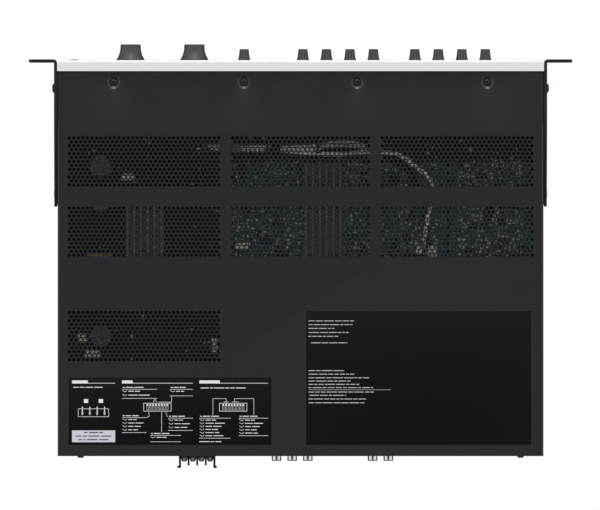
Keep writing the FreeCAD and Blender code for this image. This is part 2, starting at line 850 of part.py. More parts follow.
def make_speaker_terminals():
    """A barrier strip: a base through the panel, a seat for the screws, and five walls."""
    body = new_body("speaker_terminals")
    x, z, width, height = terminal_opening()
    base = new_sketch(body, "XZ", recess_y - d.terminal_depth)
    rectangle(base, x - width / 2, z - height / 2, x + width / 2, z + height / 2)
    pad(body, base, d.terminal_depth)
    half, rise = 2 * d.terminal_pitch + d.terminal_wall / 2, d.terminal_height / 2
    seat = new_sketch(body, "XZ", recess_y)
    rectangle(seat, x - half, z - rise, x + half, z + rise)
    pad(body, seat, d.terminal_seat)
    walls = new_sketch(body, "XY", z - rise)
    root, wall = recess_y + d.terminal_seat, d.terminal_wall / 2
    for index in range(-1, 2):
        centre = x + index * d.terminal_pitch
        rectangle(walls, centre - wall, root, centre + wall, rear_y + d.terminal_inner_reach)
    for side in (-1, 1):
        centre = x + side * 2 * d.terminal_pitch
        tip = rear_y + d.terminal_reach
        catch = centre + side * (wall + d.terminal_hook)
        outline(walls, [(centre - side * wall, root), (centre + side * wall, root),
                        (centre + side * wall, tip - 3 * d.terminal_hook), (catch, tip - 2 * d.terminal_hook),
                        (catch, tip), (centre - side * wall, tip)])
    pad(body, walls, d.terminal_height)


def make_terminal_screws():
    screws = []
    seat = recess_y + d.terminal_seat
    head_y = rear_y + d.terminal_head_reach - d.screw_head_height
    for index in range(4):
        x = d.terminal_x + (index - 1.5) * d.terminal_pitch
        start = (x, head_y, d.terminal_z)
        screws.append(screw(start, Y, d.screw_radius, head_y - seat, d.terminal_head_radius,
                            d.screw_head_height))
    join("terminal_screws", screws)


def make_phono_blocks():
    """Two plastic blocks, with a core that fills each sleeve nearly to its mouth."""
    blocks = []
    front = recess_y - d.chassis_sheet
    half = d.phono_pitch / 2
    high = board_top + d.phono_block_lift + d.phono_rise + half
    for column in phono_columns():
        blocks.append(block("phono_block", (column[0] - half, front - d.phono_block_depth, board_top),
                            (column[-1] + half, front, high)))
    reach = rear_y + d.phono_reach - d.phono_core_drop - front
    for x, z in phono_places():
        blocks.append(prism("core", (x, front, z), Y, d.phono_bore, reach, HOLE_SIDES))
    join("phono_blocks", blocks)


def make_phono_shells():
    """The metal sleeves that a phono plug grips."""
    front = recess_y - d.chassis_sheet
    reach = rear_y + d.phono_reach - front
    shells = []
    for x, z in phono_places():
        sleeve = prism("sleeve", (x, front, z), Y, d.phono_radius, reach, ROUND_SIDES)
        bore = prism("sleeve_bore", (x, front, z), Y, d.phono_bore, reach, HOLE_SIDES)
        shells.append(difference("phono_shell", sleeve, [bore]))
    join("phono_shells", shells)


def make_mains_inlet():
    """A snap-in inlet: a flange on the panel and a cavity around three blades."""
    body = new_body("mains_inlet")
    x, z, width, height = inlet_opening()
    shell = new_sketch(body, "XZ", recess_y - d.inlet_depth)
    rectangle(shell, x - width / 2, z - height / 2, x + width / 2, z + height / 2)
    pad(body, shell, d.inlet_depth)
    flange = new_sketch(body, "XZ", recess_y)
    half, rise = width / 2 + d.inlet_flange, height / 2 + d.inlet_flange
    rectangle(flange, x - half, z - rise, x + half, z + rise)
    pad(body, flange, d.inlet_flange_rise)
    cavity = new_sketch(body, "XZ", recess_y - d.inlet_depth + d.inlet_wall)
    half, rise = width / 2 - d.inlet_wall, height / 2 - d.inlet_wall
    corner = 2 * d.inlet_wall
    outline(cavity, [(x - half, z + rise), (x - half, z - rise + corner), (x - half + corner, z - rise),
                     (x + half - corner, z - rise), (x + half, z - rise + corner), (x + half, z + rise)])
    cut(body, cavity, d.inlet_depth + d.inlet_flange_rise)


def make_inlet_blades():
    root = recess_y - d.inlet_depth + d.inlet_wall
    blades = []
    for step, lift in ((-0.5, -1), (0.5, -1), (0, 1)):
        x = d.inlet_x + step * d.blade_pitch
        z = d.inlet_z + lift * d.blade_width / 2
        blades.append(block("blade", (x - d.blade_thickness / 2, root, z - d.blade_width / 2),
                            (x + d.blade_thickness / 2, root + d.blade_length, z + d.blade_width / 2)))
    join("inlet_blades", blades)


def make_input_sockets():
    """Two open headers for plug-in screw terminals."""
    body = new_body("input_sockets")
    shells = new_sketch(body, "XZ", recess_y - d.socket_depth)
    hollows = []
    for x, z, width, height in socket_openings():
        rectangle(shells, x - width / 2, z - height / 2, x + width / 2, z + height / 2)
        half, rise = width / 2 - d.socket_wall, height / 2 - d.socket_wall
        hollows.append((x - half, z - rise, x + half, z + rise))
    pad(body, shells, d.socket_depth)
    cavities = new_sketch(body, "XZ", recess_y - d.socket_depth + d.socket_wall)
    for corners in hollows:
        rectangle(cavities, *corners)
    cut(body, cavities, d.socket_depth)


def make_socket_pins():
    body = new_body("socket_pins")
    pins = new_sketch(body, "XZ", recess_y - d.socket_depth + d.socket_wall)
    z = board_top + d.socket_wall + 2 * d.socket_pin
    half = d.socket_pin / 2
    for x in (d.socket_first_x, d.socket_second_x):
        for index in range(6):
            centre = x + (index - 2.5) * d.socket_pitch
            rectangle(pins, centre - half, z - half, centre + half, z + half)
    pad(body, pins, d.socket_depth - 3 * d.socket_wall)


def make_setup_switches():
    """Two blocks of eight small slide switches, with their nubs in a shallow groove."""
    body = new_body("setup_switches")
    shells = new_sketch(body, "XZ", recess_y - d.setup_depth)
    grooves = new_sketch(body, "XZ", recess_y - d.setup_nub)
    nubs = new_sketch(body, "XZ", recess_y - d.setup_nub)
    half = d.setup_nub / 2
    for x, z, width, height in setup_openings():
        rectangle(shells, x - width / 2, z - height / 2, x + width / 2, z + height / 2)
        reach = 4 * d.setup_pitch - half
        rectangle(grooves, x - reach, z - 2 * half - d.setup_nub, x + reach, z + 2 * half + d.setup_nub)
        for index in range(8):
            centre = x + (index - 3.5) * d.setup_pitch
            rectangle(nubs, centre - half, z - 3 * half, centre + half, z - half)
    pad(body, shells, d.setup_depth)
    cut(body, grooves, d.setup_nub)
    pad(body, nubs, d.setup_nub)


# controls

def make_large_knob(label, x):
    """A turned knob whose side sweeps out to a thin skirt."""
    reach = d.knob_reach - d.knob_gap
    steps = 4
    rings = [(0, d.knob_radius)]
    for index in range(steps + 1):
        share = index / steps
        radius = d.knob_radius + (d.knob_top_radius - d.knob_radius) * (1 - (1 - share) ** d.knob_sweep.value)
        rings.append((d.knob_skirt + (reach - d.knob_skirt - d.knob_edge) * share, radius))
    rim = d.knob_top_radius - d.knob_edge
    rings.append((reach, rim))
    finish_knob(label, turned("turned_knob", rings, TURNED_SIDES, -Y), x, reach, rim)


def make_small_knob(label, x):
    """A twelve-sided knob, tapered, on a low skirt."""
    reach = d.small_knob_reach - d.knob_gap
    rings = [(0, d.small_knob_radius), (d.small_knob_skirt, d.small_knob_body), (reach, d.small_knob_top)]
    finish_knob(label, turned("moulded_knob", rings, ROUND_SIDES, -Y), x, reach, d.small_knob_top)


def finish_knob(label, solid, x, reach, rim):
    """Cuts the bore for the shaft's splined end and the pointer groove, and sets the knob in place."""
    bore = prism("bore", (0, 0, 0), -Y, d.spline_radius, d.spline_depth, HOLE_SIDES)
    half, depth = d.pointer_width / 2, d.pointer_depth
    pointer = block("pointer", (-half, -reach, rim / 3), (half, depth - reach, rim + depth))
    keep(label, place(difference(label, solid, [bore, pointer]), x, front_y - d.knob_gap, middle_z))


def make_knob_shaft(label, x):
    """A round shaft that runs in the bushing, with a splined end for the knob."""
    root = subpanel_back + d.pot_depth / 2
    nose = front_y - d.knob_gap
    spindle = rod("spindle", (x, nose, middle_z), Y, d.shaft_radius, root - nose)
    reach = d.spline_depth - d.fit_gap
    spline = prism("spline", (x, nose, middle_z), -Y, d.spline_radius - d.spline_gap, reach, HOLE_SIDES)
    join(label, [spindle, spline])


def make_potentiometers():
    """A case behind the subpanel, and a bushing through it that the shaft turns in."""
    pots = []
    front = subpanel_back - d.bushing_length
    half = d.pot_width / 2
    depth = d.bushing_length + d.pot_depth * 3 / 4
    for x, z in knob_places():
        back = subpanel_back + d.pot_depth
        case = block("pot_case", (x - half, subpanel_back, z - half), (x + half, back, z + half))
        bushing = prism("bushing", (x, front, z), Y, d.bushing_radius, d.bushing_length, HOLE_SIDES)
        whole = doc.addObject("Part::Fuse", "pot_whole")
        whole.Base, whole.Tool = case, bushing
        bore = prism("pot_bore", (x, front, z), Y, d.shaft_radius + d.shaft_gap, depth, ROUND_SIDES)
        pots.append(difference("pot", whole, [bore]))
    join("potentiometers", pots)


def make_power_button():
    cap_y = front_y - d.button_rise
    half = d.button_stem / 2
    back = subpanel_back + d.switch_depth / 3
    cap = rod("button_cap", (button_x, cap_y, middle_z), Y, d.button_radius, d.button_cap)
    stem = block("button_stem", (button_x - half, cap_y + d.button_cap, middle_z - half),
                 (button_x + half, back, middle_z + half))
    join("power_button", [cap, stem])


def make_power_switch():
    half, hole = d.switch_width / 2, d.button_stem / 2 + d.fit_gap
    back = subpanel_back + d.switch_depth
    case = block("switch_case", (button_x - half, subpanel_back, middle_z - half),
                 (button_x + half, back, middle_z + half))
    bore = block("switch_bore", (button_x - hole, subpanel_back, middle_z - hole),
                 (button_x + hole, subpanel_back + d.switch_depth / 3 + 2 * d.button_travel, middle_z + hole))
    keep("power_switch", difference("power_switch", case, [bore]))


def make_status_lamps():
    lamps = [prism("lamp", (x, front_y, z), Y, d.lamp_radius, d.fascia_depth, ROUND_SIDES)
             for x, z in lamp_places()]
    join("status_lamps", lamps)


# boards and what stands on them

def board_outlines():
    """The three level boards, each as its low and high corners on the plan."""
    yield "amplifier_board", (amp_left, board_near), (amp_right, amp_far)
    yield "power_board", (power_left, board_near), (power_right, panel_inside - d.power_board_rear_gap)
    left, right = d.input_board_side_gap - wall_x, power_left - d.input_board_gap
    yield "input_board", (left, input_near), (right, input_far)


def board_corners():
    for label, (left, near), (right, far) in board_outlines():
        inset = d.board_screw_inset
        for x in (left + inset, right - inset):
            yield x, near + inset
            if label != "input_board":
                yield x, far - inset


def make_boards():
    for label, (left, near), (right, far) in board_outlines():
        keep(label, block(label, (left, near, board_z), (right, far, board_top)))


def make_board_posts():
    posts = []
    for x, y in board_corners():
        posts.append(prism("post", (x, y, floor_z), Z, d.post_radius, d.post_height, HOLE_SIDES))
    join("board_posts", posts)


def make_board_screws():
    heads = [prism("board_screw", (x, y, board_top), Z, d.screw_head_radius, d.screw_head_height, HOLE_SIDES)
             for x, y in board_corners()]
    join("board_screws", heads)


def make_knob_board():
    front = subpanel_back + d.pot_depth
    left, right = small_knobs[-1] - d.pot_width, large_knobs[0] + d.pot_width
    rise = d.knob_board_height / 2
    keep("knob_board", block("knob_board", (left, front, middle_z - rise),
                             (right, front + d.board_thickness, middle_z + rise)))


def make_power_transformer():
    """Two ferrite halves around a winding that shows at both ends."""
    x, y = power_right - d.transformer_inset, panel_y + d.transformer_y
    half, high = d.transformer_size / 2, board_top + d.transformer_height
    core = block("core", (x - half, y - half, board_top), (x + half, y + half, high))
    inner, lift = d.winding_width / 2, d.transformer_height / 6
    corners = ((x - inner, y - half - lift, board_top + lift), (x + inner, y + half + lift, high - lift))
    join("power_transformer", [difference("ferrite", core, [block("window", *corners)]),
                               block("winding", *corners)])


def make_power_capacitors():
    """Two in front of the transformer, one behind it."""
    rods = []
    for steps in (0, 1, 5):
        y = panel_y + d.capacitor_y + steps * d.capacitor_pitch
        start = (power_right - d.capacitor_inset, y, board_top)
        rods.append(prism("capacitor", start, Z, d.capacitor_radius, d.capacitor_height, TURNED_SIDES))
    join("power_capacitors", rods)


def make_heatsink(label, x, y, long):
    """An extruded heatsink: a base with upright fins."""
    body = new_body(label)
    half, fins = d.sink_width / 2, int(d.sink_width.value // d.sink_pitch.value)
    low, high = board_top + d.sink_base, board_top + d.sink_height
    points = [(x - half, board_top), (x + half, board_top), (x + half, low)]
    for index in range(fins, -1, -1):
        centre = x + (index - fins / 2) * d.sink_pitch
        right, left = centre + d.sink_fin / 2, centre - d.sink_fin / 2
        points += [(right, low), (right, high), (left, high), (left, low)]
    points.append((x - half, low))
    profile = new_sketch(body, "XZ", panel_y + y - long / 2)
    outline(profile, points)
    pad(body, profile, long)


def make_output_coils():
    coils = []
    for index in range(4):
        x = (amp_left + amp_right) / 2 + (index - 1.5) * d.coil_pitch
        y = amp_far - d.coil_inset
        coils.append(block("coil", (x, y, board_top),
                           (x + d.coil_size, y + d.coil_size, board_top + d.coil_height)))
    join("output_coils", coils)


# the wire bundle that crosses the case above the boards

def harness_points():
    """The route's corners; both ends meet the top of a plug on the amplifier board."""
    plug_top = (board_top + d.plug_height).value
    points = [FreeCAD.Vector(x, panel_y.value + y, d.harness_z.value) for x, y in HARNESS_ROUTE]
    ends = [FreeCAD.Vector(point.x, point.y, plug_top) for point in (points[0], points[-1])]
    return [ends[0], *points, ends[1]]


def harness_spokes():
    """From the middle of the bundle to its corners, where it leaves a plug."""
    angles = [2 * math.pi * index / HARNESS_SIDES for index in range(HARNESS_SIDES + 1)]
    return [FreeCAD.Vector(math.cos(angle), math.sin(angle), 0) * d.harness_radius.value for angle in angles]


def make_wire_harness():
    """Straight runs joined by tangent arcs, each as large as its two runs allow."""
    corners = harness_points()
    edges, start = [], corners[0]
    for before, corner, after in zip(corners, corners[1:], corners[2:]):
        back, onward = (before - corner).normalize(), (after - corner).normalize()
        half_turn = (math.pi - back.getAngle(onward)) / 2
        tangent = 0.45 * min(corner.distanceToPoint(before), corner.distanceToPoint(after))
        radius = tangent / math.tan(half_turn)
        bisector = (back + onward).normalize()
        nearest = corner + bisector * (radius / math.cos(half_turn) - radius)
        arc_start, arc_end = corner + back * tangent, corner + onward * tangent
        edges.append(Part.LineSegment(start, arc_start).toShape())
        edges.append(Part.Arc(arc_start, nearest, arc_end).toShape())
        start = arc_end
        print(f"harness bend radius {radius:.1f}")
    edges.append(Part.LineSegment(start, corners[-1]).toShape())
    path = Part.Wire(edges)
    ring = Part.makePolygon([corners[0] + spoke for spoke in harness_spokes()])
    made = doc.addObject("Part::Feature", "wire_harness")
    made.Shape = path.makePipeShell([ring], True, False)
    ideal = Part.Face(ring).Area * path.Length
    print(f"harness volume over section times length {made.Shape.Volume / ideal:.4f}")
    keep("wire_harness", made)


def make_harness_plugs():
    half, depth = d.plug_width / 2, d.plug_depth / 2
    plugs = []
    for point in (harness_points()[0], harness_points()[-1]):
        plugs.append(block("plug", (point.x - half, point.y - depth, board_top),
                           (point.x + half, point.y + depth, board_top + d.plug_height)))
    join("harness_plugs", plugs)


def make_cable_ties():
    """Bands around the longest run of the bundle."""
    body = new_body("cable_ties")
    start, end = harness_points()[1:3]
    for share in (0.35, 0.65):
        bands = new_sketch(body, "YZ", start.x + (end.x - start.x) * share)
        for radius in (d.harness_radius, d.harness_radius + d.tie_thickness):
            polygon(bands, start.y, d.harness_z, radius, HARNESS_SIDES)
        pad(body, bands, d.tie_width)


def make_everything():
    make_fascia()
    make_front_subpanel()
    make_chassis_tray()
    make_top_cover()
    make_rear_panel()
    make_rubber_feet()
    make_rack_bracket("rack_bracket_right", 1)
    make_rack_bracket("rack_bracket_left", -1)
    make_cover_screws()
    make_bracket_screws()
    make_speaker_terminals()
    make_terminal_screws()
    make_phono_blocks()
    make_phono_shells()
    make_mains_inlet()
    make_inlet_blades()
    make_input_sockets()
    make_socket_pins()
    make_setup_switches()
    for number, x in enumerate(large_knobs, 1):
        make_large_knob(f"large_knob_{number}", x)
        make_knob_shaft(f"large_knob_shaft_{number}", x)
    for number, x in enumerate(small_knobs, 1):
        make_small_knob(f"small_knob_{number}", x)
        make_knob_shaft(f"small_knob_shaft_{number}", x)
    make_potentiometers()
    make_power_button()
    make_power_switch()
    make_status_lamps()
    make_boards()
    make_board_posts()
    make_board_screws()
    make_knob_board()
    make_power_transformer()
    make_power_capacitors()
    make_heatsink("power_heatsink", power_right - d.power_sink_inset, d.power_sink_y, d.power_sink_length)
    amp_sink_long = amp_far - d.coil_inset - d.amp_sink_coil_gap - (panel_y + d.amp_sink_near)
    make_heatsink("amplifier_heatsink", (amp_left + amp_right) / 2 + d.amp_sink_shift,
                  d.amp_sink_near + amp_sink_long / 2, amp_sink_long)
    make_output_coils()
    make_wire_harness()
    make_harness_plugs()
    make_cable_ties()
    doc.recompute()


def check_everything():
    """Stops if a feature failed, a cut removed nothing, or a piece isn't a sound solid."""
    for item in doc.Objects:
        if "Invalid" in item.State or "Error" in item.State:
            raise RuntimeError(f"{item.Name} failed: {item.State}")
        if item.TypeId == "PartDesign::Pocket" and item.Shape.Volume > item.BaseFeature.Shape.Volume - 0.01:
            raise RuntimeError(f"{item.Name} cuts nothing")
    for label, item in pieces.items():
        if item.Shape.isNull() or not item.Shape.isValid() or not item.Shape.Solids:
            raise RuntimeError(f"{label} is not a sound solid")


make_everything()
check_everything()
os.makedirs("parts", exist_ok=True)
for label, item in pieces.items():
    item.Shape.exportStep(f"parts/{label}.step")
print(f"{len(pieces)} pieces written")
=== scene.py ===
import json
import math
import random

import bmesh
import bpy
from mathutils import Matrix, Vector


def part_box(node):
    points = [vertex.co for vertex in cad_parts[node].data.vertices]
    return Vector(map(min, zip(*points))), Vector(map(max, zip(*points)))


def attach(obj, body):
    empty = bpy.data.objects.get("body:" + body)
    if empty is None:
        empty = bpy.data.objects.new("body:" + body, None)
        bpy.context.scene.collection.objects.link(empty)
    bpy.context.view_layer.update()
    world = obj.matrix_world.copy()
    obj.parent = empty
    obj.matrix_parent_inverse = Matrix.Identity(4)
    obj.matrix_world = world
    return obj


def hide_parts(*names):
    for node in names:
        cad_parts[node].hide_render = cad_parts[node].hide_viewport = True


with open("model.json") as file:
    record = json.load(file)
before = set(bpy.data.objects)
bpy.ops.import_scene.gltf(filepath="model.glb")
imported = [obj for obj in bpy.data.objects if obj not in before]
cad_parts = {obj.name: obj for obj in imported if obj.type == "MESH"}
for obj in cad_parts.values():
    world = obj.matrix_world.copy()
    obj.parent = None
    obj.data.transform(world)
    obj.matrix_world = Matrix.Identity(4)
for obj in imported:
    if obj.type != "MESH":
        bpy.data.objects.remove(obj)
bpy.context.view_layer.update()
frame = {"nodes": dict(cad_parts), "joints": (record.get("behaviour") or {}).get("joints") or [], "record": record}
scene = bpy.context.scene
mm = 0.001
print("amplifier frame loaded")


# places read off the frame, in millimetres

def boxOf(node):
    return [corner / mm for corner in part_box(node)]


coverLow, coverHigh = boxOf("top_cover")
fasciaLow, fasciaHigh = boxOf("fascia")
frontY, middleZ = fasciaLow.y, (fasciaLow.z + fasciaHigh.z) / 2
coverTop, coverFront, coverRear = coverHigh.z, coverLow.y, coverHigh.y
up, frontward, rearward = Vector((0, 0, 1)), Vector((0, -1, 0)), Vector((0, 1, 0))


# node trees

socketTypes = {float: "Float", int: "Int", 3: "Vector", 4: "Color"}


def startTree(name, entries, results, kind="ShaderNodeTree"):
    # an entry holds its first value, or the name of its type
    tree = bpy.data.node_groups.new(name, kind)
    for title, value in entries.items():
        named = isinstance(value, str)
        socketType = value if named else socketTypes.get(type(value)) or socketTypes[len(value)]
        socket = tree.interface.new_socket(title, in_out="INPUT", socket_type="NodeSocket" + socketType)
        if not named:
            socket.default_value = value
    for title, socketType in results.items():
        tree.interface.new_socket(title, in_out="OUTPUT", socket_type="NodeSocket" + socketType)
    return tree, tree.nodes.new("NodeGroupInput").outputs, tree.nodes.new("NodeGroupOutput").inputs


def addNode(tree, kind, feeds=(), **settings):
    node = tree.nodes.new(kind)
    for name, value in settings.items():
        setattr(node, name, value)
    for title, value in dict(feeds).items():
        if isinstance(value, bpy.types.NodeSocket):
            tree.links.new(value, node.inputs[title])
        else:
            node.inputs[title].default_value = value
    return node.outputs


def shaderNode(tree, kind, feeds=(), **settings):
    return addNode(tree, "ShaderNode" + kind, feeds, **settings)


def work(tree, operation, *values):
    return shaderNode(tree, "Math", enumerate(values), operation=operation)[0]


def times(tree, first, second):
    return work(tree, "MULTIPLY", first, second)


def vectorWork(tree, operation, first, second):
    return shaderNode(tree, "VectorMath", {0: first, 1: second}, operation=operation)


def scaled(tree, vector, factor):
    return shaderNode(tree, "VectorMath", {"Vector": vector, "Scale": factor}, operation="SCALE")[0]


def axisOf(tree, vector, axis):
    return shaderNode(tree, "SeparateXYZ", {"Vector": vector})[axis]


def vectorOf(tree, **parts):
    return shaderNode(tree, "CombineXYZ", parts)[0]


def ramp(tree, value, start, end, low=0.0, high=1.0):
    return shaderNode(tree, "MapRange", {"Value": value, "From Min": start, "From Max": end, "To Min": low,
                                         "To Max": high})[0]


def placeOn(tree, title="Object"):
    return shaderNode(tree, "TexCoord")[title]


def noiseAt(tree, size, detail=3.0, place=None):
    place = placeOn(tree) if place is None else place
    return shaderNode(tree, "TexNoise", {"Vector": place, "Scale": work(tree, "DIVIDE", 1.0, size),
                                         "Detail": detail, "Roughness": 0.6})["Fac"]


def swingAround(tree, centre, noise, amount):
    return work(tree, "MULTIPLY_ADD", work(tree, "SUBTRACT", noise, 0.5), amount, centre)


def mixColours(tree, share, first, second):
    return shaderNode(tree, "Mix", {0: share, 6: first, 7: second}, data_type="RGBA")[2]


# shader effects that several finishes share: each changes a colour, or gives a roughness and a relief

def colourEffect(name, wire, **entries):
    entries = {"Colour": (0.5, 0.5, 0.5, 1), **entries}
    tree, entry, result = startTree(name, entries, {"Colour": "Color"})
    tree.links.new(wire(tree, entry), result["Colour"])
    return tree


def reliefEffect(name, wire, **entries):
    tree, entry, result = startTree(name, entries, {"Roughness": "Float", "Normal": "Vector"})
    patches, height = wire(tree, entry)
    tree.links.new(swingAround(tree, entry["Roughness"], patches, entry["Spread"]), result["Roughness"])
    bump = shaderNode(tree, "Bump", {"Strength": 1.0, "Distance": entry["Depth"], "Height": height})
    tree.links.new(bump[0], result["Normal"])
    return tree


def driftTone(tree, entry):
    factor = swingAround(tree, 1.0, noiseAt(tree, entry["Patch"]), times(tree, entry["Amount"], 2.0))
    return scaled(tree, entry["Colour"], factor)


# where dust lies, by how far a face looks up; where edges wear, by how sharp they are; sizes of the patches
effects = {"lying": (0.4, 0.9), "dustPatch": 0.004, "sharp": (0.52, 0.60), "wearPatch": 0.002, "fleckPatch": 0.02,
           "grainPatch": 30.0}


def patchy(tree, entry, where, noise, second):
    share = times(tree, times(tree, where, noise), entry["Amount"])
    return mixColours(tree, share, entry["Colour"], entry[second])


def settleDust(tree, entry):
    lying = ramp(tree, axisOf(tree, placeOn(tree, "Normal"), "Z"), *effects["lying"])
    return patchy(tree, entry, lying, noiseAt(tree, effects["dustPatch"], 5.0), "Dust")


def wearEdge(tree, entry):
    edge = ramp(tree, shaderNode(tree, "NewGeometry")["Pointiness"], *effects["sharp"])
    return patchy(tree, entry, edge, noiseAt(tree, effects["wearPatch"], 4.0), "Bare")


def tintLeaning(tree, entry):
    # tints what leans towards one side; on the panel it paints a highlight on the rounded front edge, and a darker grey
    # on the flat front face
    lean = vectorWork(tree, "DOT_PRODUCT", placeOn(tree, "Normal"), entry["Side"])["Value"]
    return mixColours(tree, ramp(tree, lean, entry["Start"], entry["End"]), entry["Colour"], entry["Tint"])


def addFlecks(tree, entry):
    # small pale spots, as solder and parts too small to draw
    scale = work(tree, "DIVIDE", 1.0, entry["Spacing"])
    dots = shaderNode(tree, "TexVoronoi", {"Vector": placeOn(tree), "Scale": scale})["Distance"]
    near = work(tree, "LESS_THAN", dots, times(tree, entry["Share"], noiseAt(tree, effects["fleckPatch"])))
    return mixColours(tree, near, entry["Colour"], entry["Fleck"])


def grainSurface(tree, entry):
    return noiseAt(tree, times(tree, entry["Grain"], effects["grainPatch"])), noiseAt(tree, entry["Grain"], 2.0)


def brushLines(tree, entry):
    along, across = (work(tree, "DIVIDE", 1.0, entry[title]) for title in ("Length", "Grain"))
    stretch = vectorOf(tree, X=along, Y=across, Z=across)
    lines = noiseAt(tree, 1.0, 2.0, vectorWork(tree, "MULTIPLY", placeOn(tree), stretch)[0])
    return lines, lines


pale = (1, 1, 1, 1)
toneDrift = colourEffect("toneDrift", driftTone, Amount=0.1, Patch=0.03)
settledDust = colourEffect("settledDust", settleDust, Dust=(0.3, 0.29, 0.27, 1), Amount=0.05)
wornEdge = colourEffect("wornEdge", wearEdge, Bare=(0.3, 0.3, 0.3, 1), Amount=0.3)
leaningTint = colourEffect("leaningTint", tintLeaning, Tint=pale, Side=(0, -1, 0), Start=0.03, End=0.22)
flecks = colourEffect("flecks", addFlecks, Fleck=pale, Spacing=0.002, Share=0.3)
surfaceGrain = reliefEffect("surfaceGrain", grainSurface, Grain=0.0006, Depth=0.00002, Roughness=0.5, Spread=0.1)
brushedLines = reliefEffect("brushedLines", brushLines, Grain=0.0003, Length=0.02, Depth=0.00001, Roughness=0.4,
                            Spread=0.2)


def shade(*colour):
    straight = [part / 255 for part in colour]
    return (*(part / 12.92 if part <= 0.04045 else ((part + 0.055) / 1.055) ** 2.4 for part in straight), 1)


# one entry for each finish: colours as seen on a screen, sizes in millimetres
finishSpecs = {
    "cover_steel": {"colour": (33, 34, 38), "rough": 0.36, "gloss": 0.44, "grain": (0.45, 0.008),
                    "drift": (0.06, 60), "dust": 0.01, "spread": 0.08},
    "bracket_steel": {"colour": (30, 31, 33), "rough": 0.42, "gloss": 0.4, "grain": (0.5, 0.010), "drift": (0.05, 30),
                      "dust": 0.01},
    "chassis_steel": {"colour": (52, 55, 58), "metal": 0.5, "brushed": (0.25, 14, 0.004), "drift": (0.08, 25)},
    "rear_steel": {"colour": (31, 32, 35), "rough": 0.52, "gloss": 0.25, "grain": (0.45, 0.012), "drift": (0.05, 50)},
    # the panel: its own light grey, a painted highlight on the rounded front edge, and the flat front face tinted a
    # darker grey
    "fascia_aluminium": {"colour": (233, 233, 236), "rough": 0.42, "metal": 0.1, "brushed": (0.12, 26, 0.0015),
                         "drift": (0.015, 40),
                         "leaning": (((253, 253, 253), 0.03, 0.22), ((212, 212, 215), 0.7, 0.86))},
    "knob_plastic": {"colour": (64, 64, 67), "rough": 0.5, "grain": (0.18, 0.004), "drift": (0.05, 8),
                     "worn": (0.25, (110, 110, 110))},
    "shaft_steel": {"colour": (180, 180, 178), "rough": 0.3, "metal": 1.0, "brushed": (0.1, 4, 0.002)},
    "button_plastic": {"colour": (142, 142, 145), "rough": 0.36, "grain": (0.2, 0.002), "drift": (0.03, 6)},
    "lamp_lens": {"colour": (58, 140, 74), "rough": 0.15, "gloss": 0.6, "grain": (0.8, 0.002), "drift": (0.08, 1.5),
                  "coat": 0.6},
    "screw_black": {"colour": (40, 41, 44), "rough": 0.34, "metal": 0.55, "grain": (0.3, 0.004), "drift": (0.1, 2),
                    "worn": (0.5, (120, 120, 120))},
    "screw_bright": {"colour": (230, 230, 230), "rough": 0.36, "metal": 0.85, "drift": (0.06, 2)},
    "foot_rubber": {"colour": (30, 30, 31), "rough": 0.78, "gloss": 0.3, "grain": (0.5, 0.02), "drift": (0.1, 6),
                    "dust": 0.05},
    "terminal_plastic": {"colour": (12, 12, 13), "rough": 0.45, "gloss": 0.25, "grain": (0.3, 0.003),
                         "drift": (0.06, 10)},
    "contact_metal": {"colour": (236, 236, 234), "rough": 0.09, "metal": 1.0, "grain": (1.5, 0.002),
                      "drift": (0.03, 5)},
    "socket_green": {"colour": (52, 118, 70), "rough": 0.42, "grain": (0.3, 0.004), "drift": (0.06, 9)},
    "switch_blue": {"colour": (44, 80, 150), "grain": (0.3, 0.003)},
    "case_plastic": {"colour": (62, 63, 66), "rough": 0.5, "gloss": 0.4, "grain": (0.3, 0.006), "drift": (0.06, 9)},
    "board_green": {"colour": (50, 82, 84), "gloss": 0.4, "grain": (1.2, 0.01), "drift": (1.3, 13),
                    "flecks": (2.2, 0.42, (176, 182, 180))},
    # the board tone darkened, as painted shade
    "darkBoard": {"colour": (32, 36, 37), "gloss": 0.4, "grain": (1.2, 0.01), "drift": (0.3, 8)},
    "post_brass": {"colour": (200, 174, 110), "rough": 0.32, "metal": 1.0, "brushed": (0.15, 3, 0.003),
                   "drift": (0.05, 3)},
    "ferrite_tape": {"colour": (150, 132, 62), "brushed": (0.6, 12, 0.01), "drift": (0.12, 6)},
    "capacitor_sleeve": {"colour": (38, 44, 66), "rough": 0.28, "grain": (1.5, 0.01), "drift": (0.06, 8)},
    "can_aluminium": {"colour": (120, 123, 127), "rough": 0.5, "metal": 0.4, "drift": (0.06, 8)},
    "heatsink_aluminium": {"colour": (152, 154, 159), "rough": 0.42, "metal": 0.5, "brushed": (0.2, 30, 0.004),
                           "drift": (0.06, 12)},
    "coil_core": {"colour": (66, 65, 66), "rough": 0.6, "gloss": 0.3, "grain": (0.5, 0.02), "drift": (0.1, 4)},
    "wire_white": {"colour": (216, 214, 212), "rough": 0.42, "grain": (0.6, 0.01), "drift": (0.05, 6)},
    "plug_white": {"colour": (226, 222, 210), "rough": 0.42, "grain": (0.4, 0.006)},
    "tie_black": {"colour": (28, 28, 29), "rough": 0.5, "gloss": 0.4, "grain": (0.4, 0.01), "drift": (0.06, 4)},
    "labelFilm": {"colour": (15, 15, 17), "rough": 0.45, "gloss": 0.12, "grain": (0.7, 0.002), "drift": (0.04, 30),
                  "spread": 0.06},
    "chipResin": {"colour": (38, 39, 40), "rough": 0.46, "gloss": 0.4, "grain": (0.3, 0.01), "drift": (0.12, 4)},
    "tinnedLead": {"colour": (210, 210, 206), "metal": 0.4, "grain": (0.6, 0.01), "drift": (0.1, 2)},
}
for ink, colour in (("paleInk", (226, 227, 234)), ("noteInk", (204, 203, 213)), ("darkInk", (58, 59, 62)),
                    ("labelGrey", (178, 179, 182))):
    drift = (0.1, 2) if ink == "labelGrey" else (0.04, 5)
    finishSpecs[ink] = {"colour": colour, "rough": 0.5, "gloss": 0.3, "grain": (0.3, 0.004), "drift": drift}
